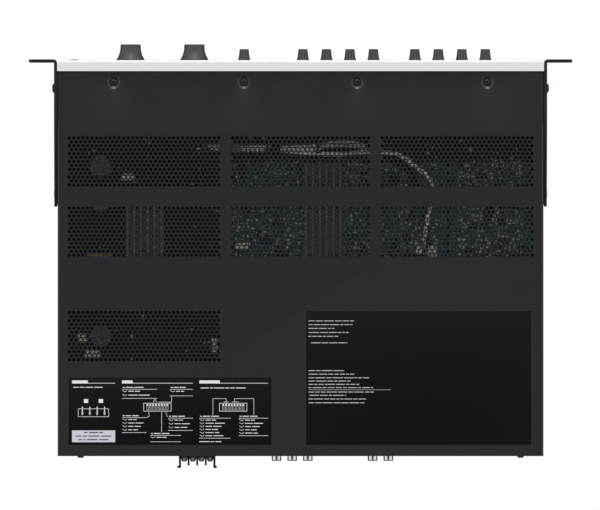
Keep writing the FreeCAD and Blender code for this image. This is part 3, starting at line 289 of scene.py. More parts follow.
# what a finish has where its entry doesn't say
usual = {"rough": 0.4, "gloss": 0.5, "metal": 0.0, "coat": 0.0, "spread": 0.14, "drift": (0.05, 5),
         "grain": (0.4, 0.004)}


def effect(tree, group, **feeds):
    return shaderNode(tree, "Group", feeds, node_tree=group)


def makeFinish(name, spec):
    finish = bpy.data.materials.new(name)
    finish.use_nodes = True
    tree = finish.node_tree
    tree.nodes.clear()
    spec = {**usual, **spec}
    amount, patch = spec["drift"]
    colour = effect(tree, toneDrift, Colour=shade(*spec["colour"]), Amount=amount, Patch=patch * mm)[0]
    if "worn" in spec:
        amount, bare = spec["worn"]
        colour = effect(tree, wornEdge, Colour=colour, Bare=shade(*bare), Amount=amount)[0]
    # painted highlight bands, set by which way a face leans
    for tint, start, end in spec.get("leaning", ()):
        colour = effect(tree, leaningTint, Colour=colour, Tint=shade(*tint), Start=start, End=end)[0]
    if "flecks" in spec:
        spacing, share, fleck = spec["flecks"]
        colour = effect(tree, flecks, Colour=colour, Fleck=shade(*fleck), Spacing=spacing * mm, Share=share)[0]
    if "dust" in spec:
        colour = effect(tree, settledDust, Colour=colour, Amount=spec["dust"])[0]
    feeds = {"Roughness": spec["rough"], "Spread": spec["spread"]}
    if "brushed" in spec:
        group, (grain, length, depth) = brushedLines, spec["brushed"]
        feeds["Length"] = length * mm
    else:
        group, (grain, depth) = surfaceGrain, spec["grain"]
    relief = effect(tree, group, Grain=grain * mm, Depth=depth * mm, **feeds)
    shader = shaderNode(tree, "BsdfPrincipled", {
        "Base Color": colour, "Metallic": spec["metal"], "Roughness": relief["Roughness"], "Normal": relief["Normal"],
        "Specular IOR Level": spec["gloss"], "Coat Weight": spec["coat"], "Coat Roughness": 0.08})
    shaderNode(tree, "OutputMaterial", {"Surface": shader[0]})
    return finish


finishes = {name: makeFinish(name, spec) for name, spec in finishSpecs.items()}
for entry in frame["record"]["subparts"]:
    for slot in frame["nodes"][entry["node"]].material_slots:
        slot.material = finishes[entry["material_slot"]]
print("finishes ready", len(finishes))


# mesh helpers: places and sizes come in millimetres, meshes are in metres

def aim(place, axis):
    return Matrix.Translation(Vector(place) * mm) @ Vector(axis).to_track_quat("Z", "Y").to_matrix().to_4x4()


def joinLoops(bm, loops, count):
    for low, high in zip(loops, loops[1:]):
        for index in range(count):
            after = (index + 1) % count
            corners = list(dict.fromkeys([low[index % len(low)], low[after % len(low)],
                                          high[after % len(high)], high[index % len(high)]]))
            if len(corners) > 2:
                bm.faces.new(corners)


def ringVert(bm, radius, angle, height, where):
    return bm.verts.new(where @ (Vector((radius * math.cos(angle), radius * math.sin(angle), height)) * mm))


def addLathe(bm, rings, sides, where=Matrix.Identity(4)):
    loops = [[ringVert(bm, radius, 2 * math.pi * index / sides, height, where)
              for index in range(sides if radius else 1)] for height, radius in rings]
    joinLoops(bm, loops, sides)
    return loops


def addBox(bm, low, high, bevel, material=0, segments=2):
    low, high = Vector(low) * mm, Vector(high) * mm
    where = Matrix.Translation((low + high) / 2) @ Matrix.Diagonal((*(high - low), 1))
    made = bmesh.ops.create_cube(bm, size=1, matrix=where)["verts"]
    faces = [face for vert in made for face in vert.link_faces]
    edges = list(dict.fromkeys(edge for vert in made for edge in vert.link_edges))
    cut = bmesh.ops.bevel(bm, geom=edges, offset=bevel * mm, segments=segments, affect="EDGES", profile=0.5)
    for face in [face for face in faces if face.is_valid] + cut["faces"]:
        face.material_index = material


def addLoop(bm, points):
    verts = [bm.verts.new(point) for point in points]
    return verts, ringEdges(verts, bm.edges.new)


def ringEdges(verts, edgeOf):
    return [edgeOf((verts[index - 1], verts[index])) for index in range(len(verts))]


def weld(bm, distance=0.002):
    bmesh.ops.remove_doubles(bm, verts=bm.verts, dist=distance * mm)


def fillBetween(bm, edges):
    bmesh.ops.triangle_fill(bm, edges=edges, use_beauty=True, normal=(0, 0, 1))


def bmeshOf(mesh):
    bm = bmesh.new()
    bm.from_mesh(mesh)
    return bm


def rawMesh(bm, name):
    mesh = bpy.data.meshes.new(name)
    bm.to_mesh(mesh)
    bm.free()
    return mesh


def smoothed(mesh, keepSharp=32):
    for face in mesh.polygons:
        face.use_smooth = True
    mesh.set_sharp_from_angle(angle=math.radians(keepSharp))
    return mesh


def meshFrom(bm, name, keepSharp=32):
    bmesh.ops.recalc_face_normals(bm, faces=bm.faces)
    return smoothed(rawMesh(bm, name), keepSharp)


def latheMesh(name, rings, sides):
    bm = bmesh.new()
    addLathe(bm, rings, sides)
    return meshFrom(bm, name)


def hostFor(name, data):
    host = bpy.data.objects.new(name, data)
    scene.collection.objects.link(host)
    return host


def newPiece(name, shape, looks, body="chassis", stands=()):
    mesh = meshFrom(shape, name) if isinstance(shape, bmesh.types.BMesh) else shape
    looks = [looks] if isinstance(looks, str) else looks
    parts = [min(face.material_index, len(looks) - 1) for face in mesh.polygons]
    mesh.materials.clear()
    for look in looks:
        mesh.materials.append(finishes[look])
    mesh.polygons.foreach_set("material_index", parts)
    piece = hostFor(name, mesh)
    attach(piece, body)
    if stands:
        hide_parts(*stands)


def evaluated(host):
    bpy.context.view_layer.update()
    made = bpy.data.meshes.new_from_object(host.evaluated_get(bpy.context.evaluated_depsgraph_get()))
    bpy.data.objects.remove(host)
    return made


def grow(host, tree, values):
    modifier = host.modifiers.new(tree.name, "NODES")
    modifier.node_group = tree
    for item in tree.interface.items_tree:
        if item.in_out == "INPUT" and item.name in values:
            modifier[item.identifier] = values[item.name]
    return evaluated(host)


def modified(mesh, kind, **settings):
    host = hostFor("whole", mesh)
    modifier = host.modifiers.new(kind.lower(), kind)
    for name, value in settings.items():
        setattr(modifier, name, value)
    return evaluated(host)


def softened(node, width, segments=2):
    bm = bmeshOf(frame["nodes"][node].data)
    weld(bm)
    bmesh.ops.dissolve_limit(bm, angle_limit=math.radians(1), verts=bm.verts, edges=bm.edges)
    return smoothed(modified(rawMesh(bm, node), "BEVEL", width=width * mm, segments=segments, limit_method="ANGLE",
                             angle_limit=math.radians(40), use_clamp_overlap=True, harden_normals=False))


# geometry node trees

def startGrowth(name, entries):
    entries = {"Geometry": "Geometry", "Finish": "Material", **entries}
    return startTree(name, entries, {"Geometry": "Geometry"}, "GeometryNodeTree")


def growthNode(tree, kind, feeds=(), **settings):
    return addNode(tree, "GeometryNode" + kind, feeds, **settings)


def endGrowth(tree, shapes, finish, result):
    real = growthNode(tree, "RealizeInstances", {"Geometry": shapes})[0]
    dressed = growthNode(tree, "SetMaterial", {"Geometry": real, "Material": finish})[0]
    tree.links.new(dressed, result["Geometry"])
    return tree


def copiesAt(tree, points, shape, **feeds):
    shape = growthNode(tree, "ObjectInfo", {"Object": shape})["Geometry"]
    return growthNode(tree, "InstanceOnPoints", {"Points": points, "Instance": shape, **feeds})[0]


def makePlacedShapes():
    # puts one shape at every point, turned by "lean" and sized by "stretch"
    tree, entry, result = startGrowth("placedShapes", {"Shape": "Object"})
    lean, stretch = (growthNode(tree, "InputNamedAttribute", {"Name": name}, data_type="FLOAT_VECTOR")["Attribute"]
                     for name in ("lean", "stretch"))
    copies = copiesAt(tree, entry["Geometry"], entry["Shape"], Rotation=lean, Scale=stretch)
    return endGrowth(tree, copies, entry["Finish"], result)


def makePerforatedField():
    # rows of punched cells, every second row half a pitch over and one cell short
    tree, entry, result = startGrowth("perforatedField", {
        "Holes Across": 34, "Rows": 13, "Pitch Across": 0.004, "Pitch Along": 0.0035, "Cell": "Object"})
    across = times(tree, work(tree, "SUBTRACT", entry["Holes Across"], 1), entry["Pitch Across"])
    along = times(tree, work(tree, "SUBTRACT", entry["Rows"], 1), entry["Pitch Along"])
    grid = growthNode(tree, "MeshGrid", {"Size X": across, "Size Y": along, "Vertices X": entry["Holes Across"],
                                         "Vertices Y": entry["Rows"]})["Mesh"]
    place = growthNode(tree, "InputPosition")[0]
    height = work(tree, "MULTIPLY_ADD", along, 0.5, axisOf(tree, place, "Y"))
    odd = work(tree, "FLOORED_MODULO", work(tree, "ROUND", work(tree, "DIVIDE", height, entry["Pitch Along"])), 2.0)
    edge = times(tree, work(tree, "SUBTRACT", across, entry["Pitch Across"]), 0.5)
    last = work(tree, "GREATER_THAN", axisOf(tree, place, "X"), edge)
    trimmed = growthNode(tree, "DeleteGeometry", {"Geometry": grid, "Selection": times(tree, odd, last)})[0]
    shift = vectorOf(tree, X=times(tree, times(tree, odd, entry["Pitch Across"]), 0.5))
    staggered = growthNode(tree, "SetPosition", {"Geometry": trimmed, "Offset": shift})[0]
    real = growthNode(tree, "RealizeInstances", {"Geometry": copiesAt(tree, staggered, entry["Cell"])})[0]
    merged = growthNode(tree, "MergeByDistance", {"Geometry": real, "Distance": 5e-6})[0]
    return endGrowth(tree, merged, entry["Finish"], result)


def makeWireBundle():
    # lays several wires beside one another along a route, each drifting around its own place
    tree, entry, result = startGrowth("wireBundle", {
        "Wires": 6, "Wire Radius": 0.0008, "Spread": 0.003, "Twist": 6.0, "Wander": 0.001, "Seed": 1.0})
    route = growthNode(tree, "ResampleCurve", {"Curve": entry["Geometry"], "Length": 0.004}, mode="LENGTH")[0]
    copies = growthNode(tree, "DuplicateElements", {"Geometry": route, "Amount": entry["Wires"]}, domain="SPLINE")
    along = growthNode(tree, "SplineParameter")["Length"]
    wire = copies["Duplicate Index"]
    turn = work(tree, "DIVIDE", times(tree, wire, 2 * math.pi), work(tree, "SUBTRACT", entry["Wires"], 1))
    angle = work(tree, "MULTIPLY_ADD", along, entry["Twist"], turn)
    outer = times(tree, work(tree, "GREATER_THAN", wire, 0.5), entry["Spread"])
    seeded = work(tree, "MULTIPLY_ADD", wire, 3.7, entry["Seed"])
    loose = shaderNode(tree, "TexNoise", {"Vector": vectorOf(tree, X=times(tree, along, 30.0), Y=seeded),
                                          "Scale": 1.0, "Detail": 1.0})["Fac"]
    radius = work(tree, "ADD", outer, times(tree, work(tree, "SUBTRACT", loose, 0.5), entry["Wander"]))
    tangent, normal = (growthNode(tree, kind)[0] for kind in ("InputTangent", "InputNormal"))
    side = vectorWork(tree, "CROSS_PRODUCT", tangent, normal)[0]
    pushed = [scaled(tree, axis, times(tree, work(tree, wave, angle), radius))
              for axis, wave in ((normal, "COSINE"), (side, "SINE"))]
    moved = growthNode(tree, "SetPosition", {"Geometry": copies[0], "Offset": vectorWork(tree, "ADD", *pushed)[0]})[0]
    profile = growthNode(tree, "CurvePrimitiveCircle", {"Resolution": 8, "Radius": entry["Wire Radius"]})[0]
    tube = growthNode(tree, "CurveToMesh", {"Curve": moved, "Profile Curve": profile, "Fill Caps": True})[0]
    return endGrowth(tree, tube, entry["Finish"], result)


placedShapes, perforatedField, wireBundle = makePlacedShapes(), makePerforatedField(), makeWireBundle()


def scatter(name, shapeMesh, spots, look, stands=()):
    # a spot is a place, the way it faces, its stretch and its spin
    spots = [(*spot, *((1, 1, 1), 0.0)[len(spot) - 2:]) for spot in spots]
    shape = bpy.data.objects.new(name + "Shape", shapeMesh)
    points = bpy.data.meshes.new(name + "Places")
    points.from_pydata([Vector(spot[0]) * mm for spot in spots], [], [])
    turns = [(Vector(axis).to_track_quat("Z", "Y").to_matrix() @ Matrix.Rotation(spin, 3, "Z")).to_euler()
             for _, axis, _, spin in spots]
    for title, values in (("lean", turns), ("stretch", [spot[2] for spot in spots])):
        column = points.attributes.new(title, "FLOAT_VECTOR", "POINT")
        column.data.foreach_set("vector", [part for value in values for part in value])
    mesh = grow(hostFor(name + "Host", points), placedShapes, {"Shape": shape, "Finish": finishes[look]})
    bpy.data.objects.remove(shape)
    newPiece(name, smoothed(mesh), look, stands=stands)


# the lid: one bent sheet with punched fields and pressed screw dimples

lid = {"sheet": 1.0, "bend": 1.6, "bendSteps": 6, "lowEdge": coverLow.z, "rows": 13, "pitchAcross": 4.0,
       "pitchAlong": 3.464, "hole": 1.47, "holeSides": 10, "sideHoles": 34, "middleHoles": 31,
       "sideCentre": 138.2, "firstRow": 59.0, "secondRow": 121.0, "extraRow": 213.2,
       "dimpleSides": 36, "dimpleRings": ((5.95, 0), (5.75, -0.07), (5.5, -0.2), (4.6, -0.7), (3.9, -1.05),
                                          (3.4, -1.3), (3.1, -1.6), (1.65, -1.6)),
       "screwX": (50, 165), "screwBack": 9.9, "tabX": 194.3, "tabHalf": 9, "tabDrop": 16, "tabBevel": 0.3,
       "weld": 0.008}
pitchAcross, pitchAlong = lid["pitchAcross"], lid["pitchAlong"]


def lidFields():
    for row in (lid["firstRow"], lid["secondRow"]):
        for side in (-1, 0, 1):
            yield side * lid["sideCentre"], coverFront + row, lid["sideHoles" if side else "middleHoles"]
    yield lid["sideCentre"], coverFront + lid["extraRow"], lid["sideHoles"]


def punchedCell():
    bm = bmesh.new()
    half, rise = pitchAcross / 2 * mm, pitchAlong / 2 * mm
    _, outer = addLoop(bm, [(-half, -rise, 0), (0, -rise, 0), (half, -rise, 0),
                            (half, rise, 0), (0, rise, 0), (-half, rise, 0)])
    angles = [2 * math.pi * (index + 0.5) / lid["holeSides"] for index in range(lid["holeSides"])]
    _, inner = addLoop(bm, [(lid["hole"] * mm * math.cos(angle), lid["hole"] * mm * math.sin(angle), 0)
                            for angle in angles])
    fillBetween(bm, outer + inner)
    return bpy.data.objects.new("punchedCell", rawMesh(bm, "punchedCell"))


def onTop(points):
    return [Vector((x, y, coverTop)) * mm for x, y in points]


def fieldOutline(x, y, holes):
    left, near = x - holes * pitchAcross / 2, y - pitchAlong / 2
    far = near + lid["rows"] * pitchAlong
    steps = [left + index * pitchAcross / 2 for index in range(2 * holes + 1)]
    rungs = [near + index * pitchAlong for index in range(lid["rows"] + 1)]
    points = [(step, near) for step in steps] + [(steps[-1], rung) for rung in rungs[1:]]
    return onTop(points + [(step, far) for step in steps[-2::-1]] + [(left, rung) for rung in rungs[-2:0:-1]])


def addDimples(bm):
    edges = []
    for x in lid["screwX"]:
        for side in (-1, 1):
            rings = [(height, radius) for radius, height in lid["dimpleRings"]]
            where = aim((side * x, coverFront + lid["screwBack"], coverTop), up)
            edges += ringEdges(addLathe(bm, rings, lid["dimpleSides"], where)[0], bm.edges.get)
    return edges


def addHalfCells(bm):
    # the blank half cells at the ends of every second row
    for x, y, holes in lidFields():
        for row in range(1, lid["rows"], 2):
            low = y + (row - 0.5) * pitchAlong
            for side in (-1, 1):
                outer = x + side * holes * (pitchAcross / 2)
                inner = outer - side * (pitchAcross / 2)
                bm.faces.new([bm.verts.new(point) for point in onTop((
                    (inner, low), (outer, low), (outer, low + pitchAlong), (inner, low + pitchAlong)))])


def addSides(bm, corners, flat):
    turns = [math.pi / 2 * step / lid["bendSteps"] for step in range(1, lid["bendSteps"] + 1)]
    path = [(flat + lid["bend"] * math.sin(turn), coverTop - lid["bend"] * (1 - math.cos(turn))) for turn in turns]
    for side in (-1, 1):
        before = corners[1:3] if side > 0 else (corners[0], corners[3])
        for x, z in path + [(coverHigh.x, lid["lowEdge"])]:
            after = [bm.verts.new(Vector((side * x, y, z)) * mm) for y in (coverFront, coverRear)]
            bm.faces.new((before[0], before[1], after[1], after[0]))
            before = after


def addFields(bm):
    cell = punchedCell()
    for x, y, holes in lidFields():
        mesh = grow(hostFor("fieldHost", bpy.data.meshes.new("fieldHost")), perforatedField, {
            "Holes Across": holes, "Rows": lid["rows"], "Pitch Across": pitchAcross * mm,
            "Pitch Along": pitchAlong * mm, "Cell": cell, "Finish": finishes["cover_steel"]})
        mesh.transform(Matrix.Translation(Vector((x, y + (lid["rows"] - 1) * pitchAlong / 2, coverTop)) * mm))
        bm.from_mesh(mesh)
    bpy.data.objects.remove(cell)


def makeLid():
    bm = bmesh.new()
    flat = coverHigh.x - lid["bend"]
    corners, edges = addLoop(bm, onTop(((-flat, coverFront), (flat, coverFront), (flat, coverRear),
                                        (-flat, coverRear))))
    edges += addDimples(bm)
    for field in lidFields():
        edges += addLoop(bm, fieldOutline(*field))[1]
    fillBetween(bm, edges)
    addHalfCells(bm)
    addSides(bm, corners, flat)
    addFields(bm)
    weld(bm, lid["weld"])
    bmesh.ops.delete(bm, geom=[edge for edge in bm.edges if not edge.link_faces], context="EDGES")
    bmesh.ops.recalc_face_normals(bm, faces=bm.faces)
    if sum(face.normal.z * face.calc_area() for face in bm.faces) < 0:
        bmesh.ops.reverse_faces(bm, faces=bm.faces)
    sheet = modified(rawMesh(bm, "lidSheet"), "SOLIDIFY", thickness=lid["sheet"] * mm, offset=-1,
                     use_even_offset=True, use_quality_normals=True)
    bm = bmeshOf(sheet)
    bevel = lid["tabBevel"]
    for side in (-1, 1):
        x = side * lid["tabX"]
        addBox(bm, (x - lid["tabHalf"], coverRear - lid["sheet"], coverTop - lid["tabDrop"]),
               (x + lid["tabHalf"], coverRear, coverTop - bevel), bevel)
    newPiece("lid", smoothed(rawMesh(bm, "lid"), 30), "cover_steel", stands=["top_cover"])


makeLid()
print("lid punched")


# screws: heads with a cross recess; each ring of a head is its height and width as shares of the whole

headShapes = {"pan": ((0, 0.98), (0.15, 1), (0.5, 0.98), (0.78, 0.9), (0.94, 0.76), (1, 0.62)),
              "dome": ((0, 0.92), (0.08, 1), (0.3, 0.98), (0.55, 0.9), (0.78, 0.76), (0.92, 0.6), (1, 0.46))}
recess = {"reach": 0.78, "half": 0.11, "floor": 0.35, "taper": 0.7}


def crossHead(radius, rise, shape, sides=28):
    bm = bmesh.new()
    rings = [(rise * height, radius * width) for height, width in headShapes[shape]]
    loops = addLathe(bm, rings, sides)
    bm.faces.new(loops[0])
    arm, wide = rings[-1][1] * recess["reach"] * mm, radius * recess["half"] * mm
    plus = [(wide, wide), (wide, arm), (-wide, arm), (-wide, wide), (-arm, wide), (-arm, -wide),
            (-wide, -wide), (-wide, -arm), (wide, -arm), (wide, -wide), (arm, -wide), (arm, wide)]
    verts, edges = addLoop(bm, [(x, y, rise * mm) for x, y in plus])
    fillBetween(bm, ringEdges(loops[-1], bm.edges.get) + edges)
    low = [bm.verts.new((x * recess["taper"], y * recess["taper"], rise * recess["floor"] * mm)) for x, y in plus]
    for index in range(len(plus)):
        bm.faces.new((verts[index - 1], verts[index], low[index], low[index - 1]))
    bm.faces.new(low)
    return meshFrom(bm, "crossHead", 28)


coverScrews = {"radius": 2.8, "rise": 1.55, "sink": 1.6, "x": (-165, -50, 50, 165), "turns": (0.4, 1.3),
               "rearX": 194.3, "rearDrop": 8.0, "rearTurn": 0.7}
firstTurn, turn = coverScrews["turns"]
spots = [((x, coverFront + lid["screwBack"], coverTop - coverScrews["sink"]), up, (1, 1, 1), firstTurn + index * turn)
         for index, x in enumerate(coverScrews["x"])]
spots += [((side * coverScrews["rearX"], coverRear, coverTop - coverScrews["rearDrop"]), rearward, (1, 1, 1),
           coverScrews["rearTurn"] * side) for side in (-1, 1)]
scatter("lidScrews", crossHead(coverScrews["radius"], coverScrews["rise"], "pan"), spots, "screw_black",
        ["cover_screws"])

bracketScrews = {"radius": 4.0, "rise": 1.8, "tailRise": 0.4, "near": -148.4, "tail": -55.1, "spread": 25.0,
                 "face": 217.75}
near, spread = bracketScrews["near"], bracketScrews["spread"]
spots = [((side * bracketScrews["face"], y, z), (side, 0, 0), (1, 1, rise), z * 0.3 + side) for side in (-1, 1)
         for y, z, rise in ((near, middleZ - spread, 1.0), (near, middleZ + spread, 1.0),
                            (bracketScrews["tail"], middleZ, bracketScrews["tailRise"] / bracketScrews["rise"]))]
scatter("bracketScrews", crossHead(bracketScrews["radius"], bracketScrews["rise"], "dome"), spots, "screw_black",
        ["bracket_screws"])

# strips behind the bracket flanges: how high they stand each side of the middle, from front to tail
pad = {"outer": 215.45, "edge": ((coverFront, 42.3), (-122.0, 42.3), (-45.5, 16.6))}
outline = [(y, middleZ + half) for y, half in pad["edge"]] + [(y, middleZ - half) for y, half in reversed(pad["edge"])]
bm = bmesh.new()
for side in (-1, 1):
    loops = [[bm.verts.new((side * x * mm, y * mm, z * mm)) for y, z in outline] for x in (coverHigh.x, pad["outer"])]
    joinLoops(bm, loops, len(outline))
    for loop in loops:
        bm.faces.new(loop)
newPiece("bracketPads", bm, "bracket_steel")
print("screws set")


# controls on the front

largeKnob = {"reach": 13.9, "skirt": 12.5, "top": 9.0, "skirtRise": 0.5, "corner": 1.0, "sweep": 2.4,
             "sides": 72, "steps": 14, "dish": 0.45, "turns": (25, 50, 75, 90), "pointer": 0.5}
smallKnob = {"reach": 9.7, "skirt": 5.5, "skirtRise": 0.6, "waist": 4.75, "waistRise": 3.6, "top": 4.1,
             "corner": 0.3, "dish": 0.25, "pointer": 0.35, "ribs": 12, "groove": 0.6,
             "cuts": ((-0.28, 0), (0.28, 0), (0.4, 1), (0.6, 1))}  # where one rib turns, and where the groove is


def knobPlace(name):
    low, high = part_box(name)
    return (low.x + high.x) / 2 / mm, high.y / mm


def addPointer(bm, x, half, front, back, low, high, bevel):
    addBox(bm, (x - half, front, middleZ + low), (x + half, back, middleZ + high), bevel, 1)


def finishKnob(name, bm, keepSharp):
    newPiece(name.replace("_knob", "Knob"), meshFrom(bm, name, keepSharp), ["knob_plastic", "paleInk"],
             name + "_body", [name])


def makeLargeKnob(name):
    x, back = knobPlace(name)
    reach, skirt, top, rise, corner, dish = (largeKnob[key] for key in (
        "reach", "skirt", "top", "skirtRise", "corner", "dish"))
    rings = [(0, 0), (0, skirt - 0.25), (0.2, skirt), (rise, skirt - 0.05)]
    for step in range(1, largeKnob["steps"] + 1):
        share = step / largeKnob["steps"]
        drop = (skirt - top) * (1 - (1 - share) ** largeKnob["sweep"])
        rings.append((rise + (reach - rise - corner) * share, skirt - drop))
    for turn in map(math.radians, largeKnob["turns"]):
        rings.append((reach - corner + corner * math.sin(turn), top - corner * (1 - math.cos(turn))))
    lip = top - corner
    rings += [(reach, lip - 0.3), (reach - dish, lip - 0.9), (reach - dish - 0.05, 0)]
    bm = bmesh.new()
    addLathe(bm, rings, largeKnob["sides"], aim((x, back, middleZ), frontward))
    addPointer(bm, x, largeKnob["pointer"], back - reach + 0.08, back - reach + 0.7, 1.6, lip - 0.2, 0.08)
    finishKnob(name, bm, 28)


def makeSmallKnob(name):
    x, back = knobPlace(name)
    where = aim((x, back, middleZ), frontward)
    reach, skirt, top, rise, corner, dish, ribs = (smallKnob[key] for key in (
        "reach", "skirt", "top", "skirtRise", "corner", "dish", "ribs"))
    # height, radius, and how deep the grooves are there
    profile = [(0, 0, 0), (0, skirt, 0), (rise, skirt - 0.05, 0), (rise + 0.3, skirt - 0.2, 1),
               (smallKnob["waistRise"], smallKnob["waist"], 1), (reach - corner - 0.3, top + 0.03, 1),
               (reach - corner, top, 0.2), (reach - 0.08, top - corner * 0.5, 0), (reach, top - corner, 0),
               (reach, top - 0.9, 0), (reach - dish, top - 1.15, 0), (reach - dish, 0, 0)]
    turns = [((rib + part) * 2 * math.pi / ribs, cut) for rib in range(ribs) for part, cut in smallKnob["cuts"]]
    bm = bmesh.new()
    loops = [[ringVert(bm, radius and radius - smallKnob["groove"] * cut * deep, turn, height, where)
              for turn, deep in turns[:None if radius else 1]] for height, radius, cut in profile]
    joinLoops(bm, loops, len(turns))
    addPointer(bm, x, smallKnob["pointer"], back - reach + 0.05, back - reach + 0.5, 0.6, top - 0.75, 0.05)
    finishKnob(name, bm, 14)


for entry in frame["joints"]:
    name = entry["child"].replace("_body", "")
    if name.startswith("large_knob"):
        makeLargeKnob(name)
    elif name.startswith("small_knob"):
        makeSmallKnob(name)
print("knobs turned")

# the button is a shallow cap with a softened rim and a low dome
button = {"rim": 0.35, "sides": 40, "dome": ((-0.3, 0), (-0.3, 3.4), (0.02, 3.4), (0.22, 3.0), (0.42, 2.1), (0.5, 1.0),
                                             (0.52, 0))}
buttonLow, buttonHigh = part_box("power_button")
buttonX = ((buttonLow + buttonHigh) / 2 / mm).x
bm = bmeshOf(softened("power_button", button["rim"], 3))
addLathe(bm, button["dome"], button["sides"], aim((buttonX, buttonLow.y / mm, middleZ), frontward))
newPiece("powerButton", bm, "button_plastic", "power_button_body", ["power_button"])

lamp = {"radius": 1.5, "dome": 0.45, "depth": 6.0, "above": 20, "sides": 24}
radius, dome = lamp["radius"], lamp["dome"]
lens = latheMesh("lampLens", [(-lamp["depth"], 0), (-lamp["depth"], radius), (0.0, radius), (dome * 0.5, radius * 0.86),
                              (dome * 0.86, radius * 0.5), (dome, 0)], lamp["sides"])
scatter("statusLamps", lens, [((x, frontY, middleZ + lamp["above"]), frontward) for x in (
    buttonX, knobPlace("large_knob_1")[0], knobPlace("large_knob_2")[0])], "lamp_lens", ["status_lamps"])
print("front controls done")


# print on the front: rings of marks around the controls, and numbers on the two large ones

def textMesh(text, size):
    curve = bpy.data.curves.new("figure", "FONT")
    curve.body, curve.size, curve.extrude = text, size * mm, 0.02 * mm
    curve.align_x, curve.align_y = "CENTER", "CENTER"
    return evaluated(hostFor("figure", curve))


def unitBox():
    bm = bmesh.new()
    bmesh.ops.create_cube(bm, size=1 * mm, matrix=Matrix.Translation((0, 0, 0.5 * mm)))
    return meshFrom(bm, "stroke")


def printed(name, strokes, look):
    scatter(name, unitBox(), strokes, look)


# large and small: how many marks, and their inner and outer radius
dial = {"reach": 150, "width": 0.35, "ink": 0.05, "large": (11, 14.2, 16.2), "small": (7, 6.9, 8.3),
        "figure": 2.6, "figureRing": 18.6}
strokes, figures = [], bmesh.new()
for name in [f"large_knob_{number}" for number in (1, 2)] + [f"small_knob_{number}" for number in range(1, 10)]:
    x = knobPlace(name)[0]
    large = name.startswith("large")
    marks, inner, outer = dial["large" if large else "small"]
    for index in range(marks):
        turn = math.radians(dial["reach"] * (2 * index / (marks - 1) - 1))
        middle = (inner + outer) / 2
        place = (x + middle * math.sin(turn), frontY, middleZ + middle * math.cos(turn))
        strokes.append((place, frontward, (dial["width"], outer - inner, dial["ink"]), -turn))
        if large:
            ring = dial["figureRing"]
            mesh = textMesh(str(index), dial["figure"])
            spot = Vector((x + ring * math.sin(turn), frontY - 0.03, middleZ + ring * math.cos(turn))) * mm
            mesh.transform(Matrix.Translation(spot) @ Matrix.Rotation(math.pi / 2, 4, "X"))
            figures.from_mesh(mesh)
printed("dialMarks", strokes, "darkInk")
newPiece("dialFigures", smoothed(rawMesh(figures, "dialFigures")), "darkInk")
print("dial marks printed")


# labels on the lid: plain films with line diagrams

film = {"rise": 0.12, "sink": 0.01, "bevel": 0.05, "ink": 0.03, "left": 25.7, "right": 204.8, "front": 107.1,
        "rear": 166.6, "largeLeft": -203.5, "largeRight": -4.3, "largeFront": 47.6, "line": 0.32, "gap": 0.9}
filmTop, filmRear, filmRight = coverTop + film["rise"], film["rear"], film["right"]
for name, left, front, right in (("connectionLabel", film["left"], film["front"], filmRight),
                                 ("plainLabel", film["largeLeft"], film["largeFront"], film["largeRight"])):
    bm = bmesh.new()
    addBox(bm, (left, front, coverTop - film["sink"]), (right, filmRear, filmTop), film["bevel"])
    newPiece(name, bm, "labelFilm")


def lineBetween(start, end, width, lift=0.0):
    run = Vector(end) - Vector(start)
    place = ((start[0] + end[0]) / 2, (start[1] + end[1]) / 2, filmTop + lift)
    return place, up, (run.length, width, film["ink"]), math.atan2(run.y, run.x)


def stroke(u0, v0, u1, v1, width=film["line"], lift=0.0):
    # from one point of the small label to another, measured from its front corner at the power side
    start, end = (Vector((filmRight - u, film["front"] + v)) for u, v in ((u0, v0), (u1, v1)))
    return lineBetween(start, end, width, lift)


def strokesOf(*lines):
    return [stroke(*line) for line in lines]


def frameOf(u0, v0, u1, v1, width=film["line"]):
    return strokesOf((u0, v0, u1, v0, width), (u1, v0, u1, v1, width), (u1, v1, u0, v1, width), (u0, v1, u0, v0, width))


def dashRow(u, v, wordLengths, height=0.62, gap=film["gap"], lift=0.0):
    made = []
    for length in wordLengths:
        made.append(stroke(u, v, u + length, v, height, lift))
        u += length + gap
    return made


bank = {"wide": 24.2, "high": 7.0, "line": 0.4, "slots": 8, "first": 3.3, "pitch": 2.52, "nub": (0.7, 2.1, 1.5),
        "slot": (0.7, 2.3, 6.0, 0.22)}  # nub: start, end, width; slot: half width, start, end, line


def switchBank(u, v):
    made = frameOf(u, v, u + bank["wide"], v + bank["high"], bank["line"])
    start, end, width = bank["nub"]
    half, low, high, line = bank["slot"]
    for slot in range(bank["slots"]):
        middle = u + bank["first"] + slot * bank["pitch"]
        made.append(stroke(middle, v + start, middle, v + end, width))
        made += frameOf(middle - half, v + low, middle + half, v + high, line)
    return made


# a list under a rule: its title's words, and in each row two slanted ticks (start, end, rise) and two words
listing = {"indent": 0.8, "above": 1.7, "number": 1.6, "title": (0.22, 0.26), "titleHeight": 0.7, "below": 1.7,
           "ticks": ((0.5, 2.6, -0.6), (2.9, 4.4, 0.6)), "tickLine": 0.35, "text": 5.6, "foot": 1.2,
           "words": ((0.16, 0.05, 5, 3), (0.14, 0.06, 7, 4))}  # words: share of the width, and how it differs by row


def ruledList(u, v, wide, rows, step):
    title = [listing["number"], *(wide * share for share in listing["title"])]
    made = strokesOf((u, v, u + wide, v))
    made += dashRow(u + listing["indent"], v - listing["above"], title, listing["titleHeight"])
    for row in range(rows):
        line = v + listing["below"] + row * step
        made += strokesOf(*((u + start, line + rise, u + end, line - rise, listing["tickLine"])
                            for start, end, rise in listing["ticks"]))
        made += dashRow(u + listing["text"], line, [wide * (share + more * (row * skip % turns))
                                                    for share, more, skip, turns in listing["words"]])
    foot = v + listing["foot"] + rows * step
    return made + strokesOf((u, foot, u + wide, foot))


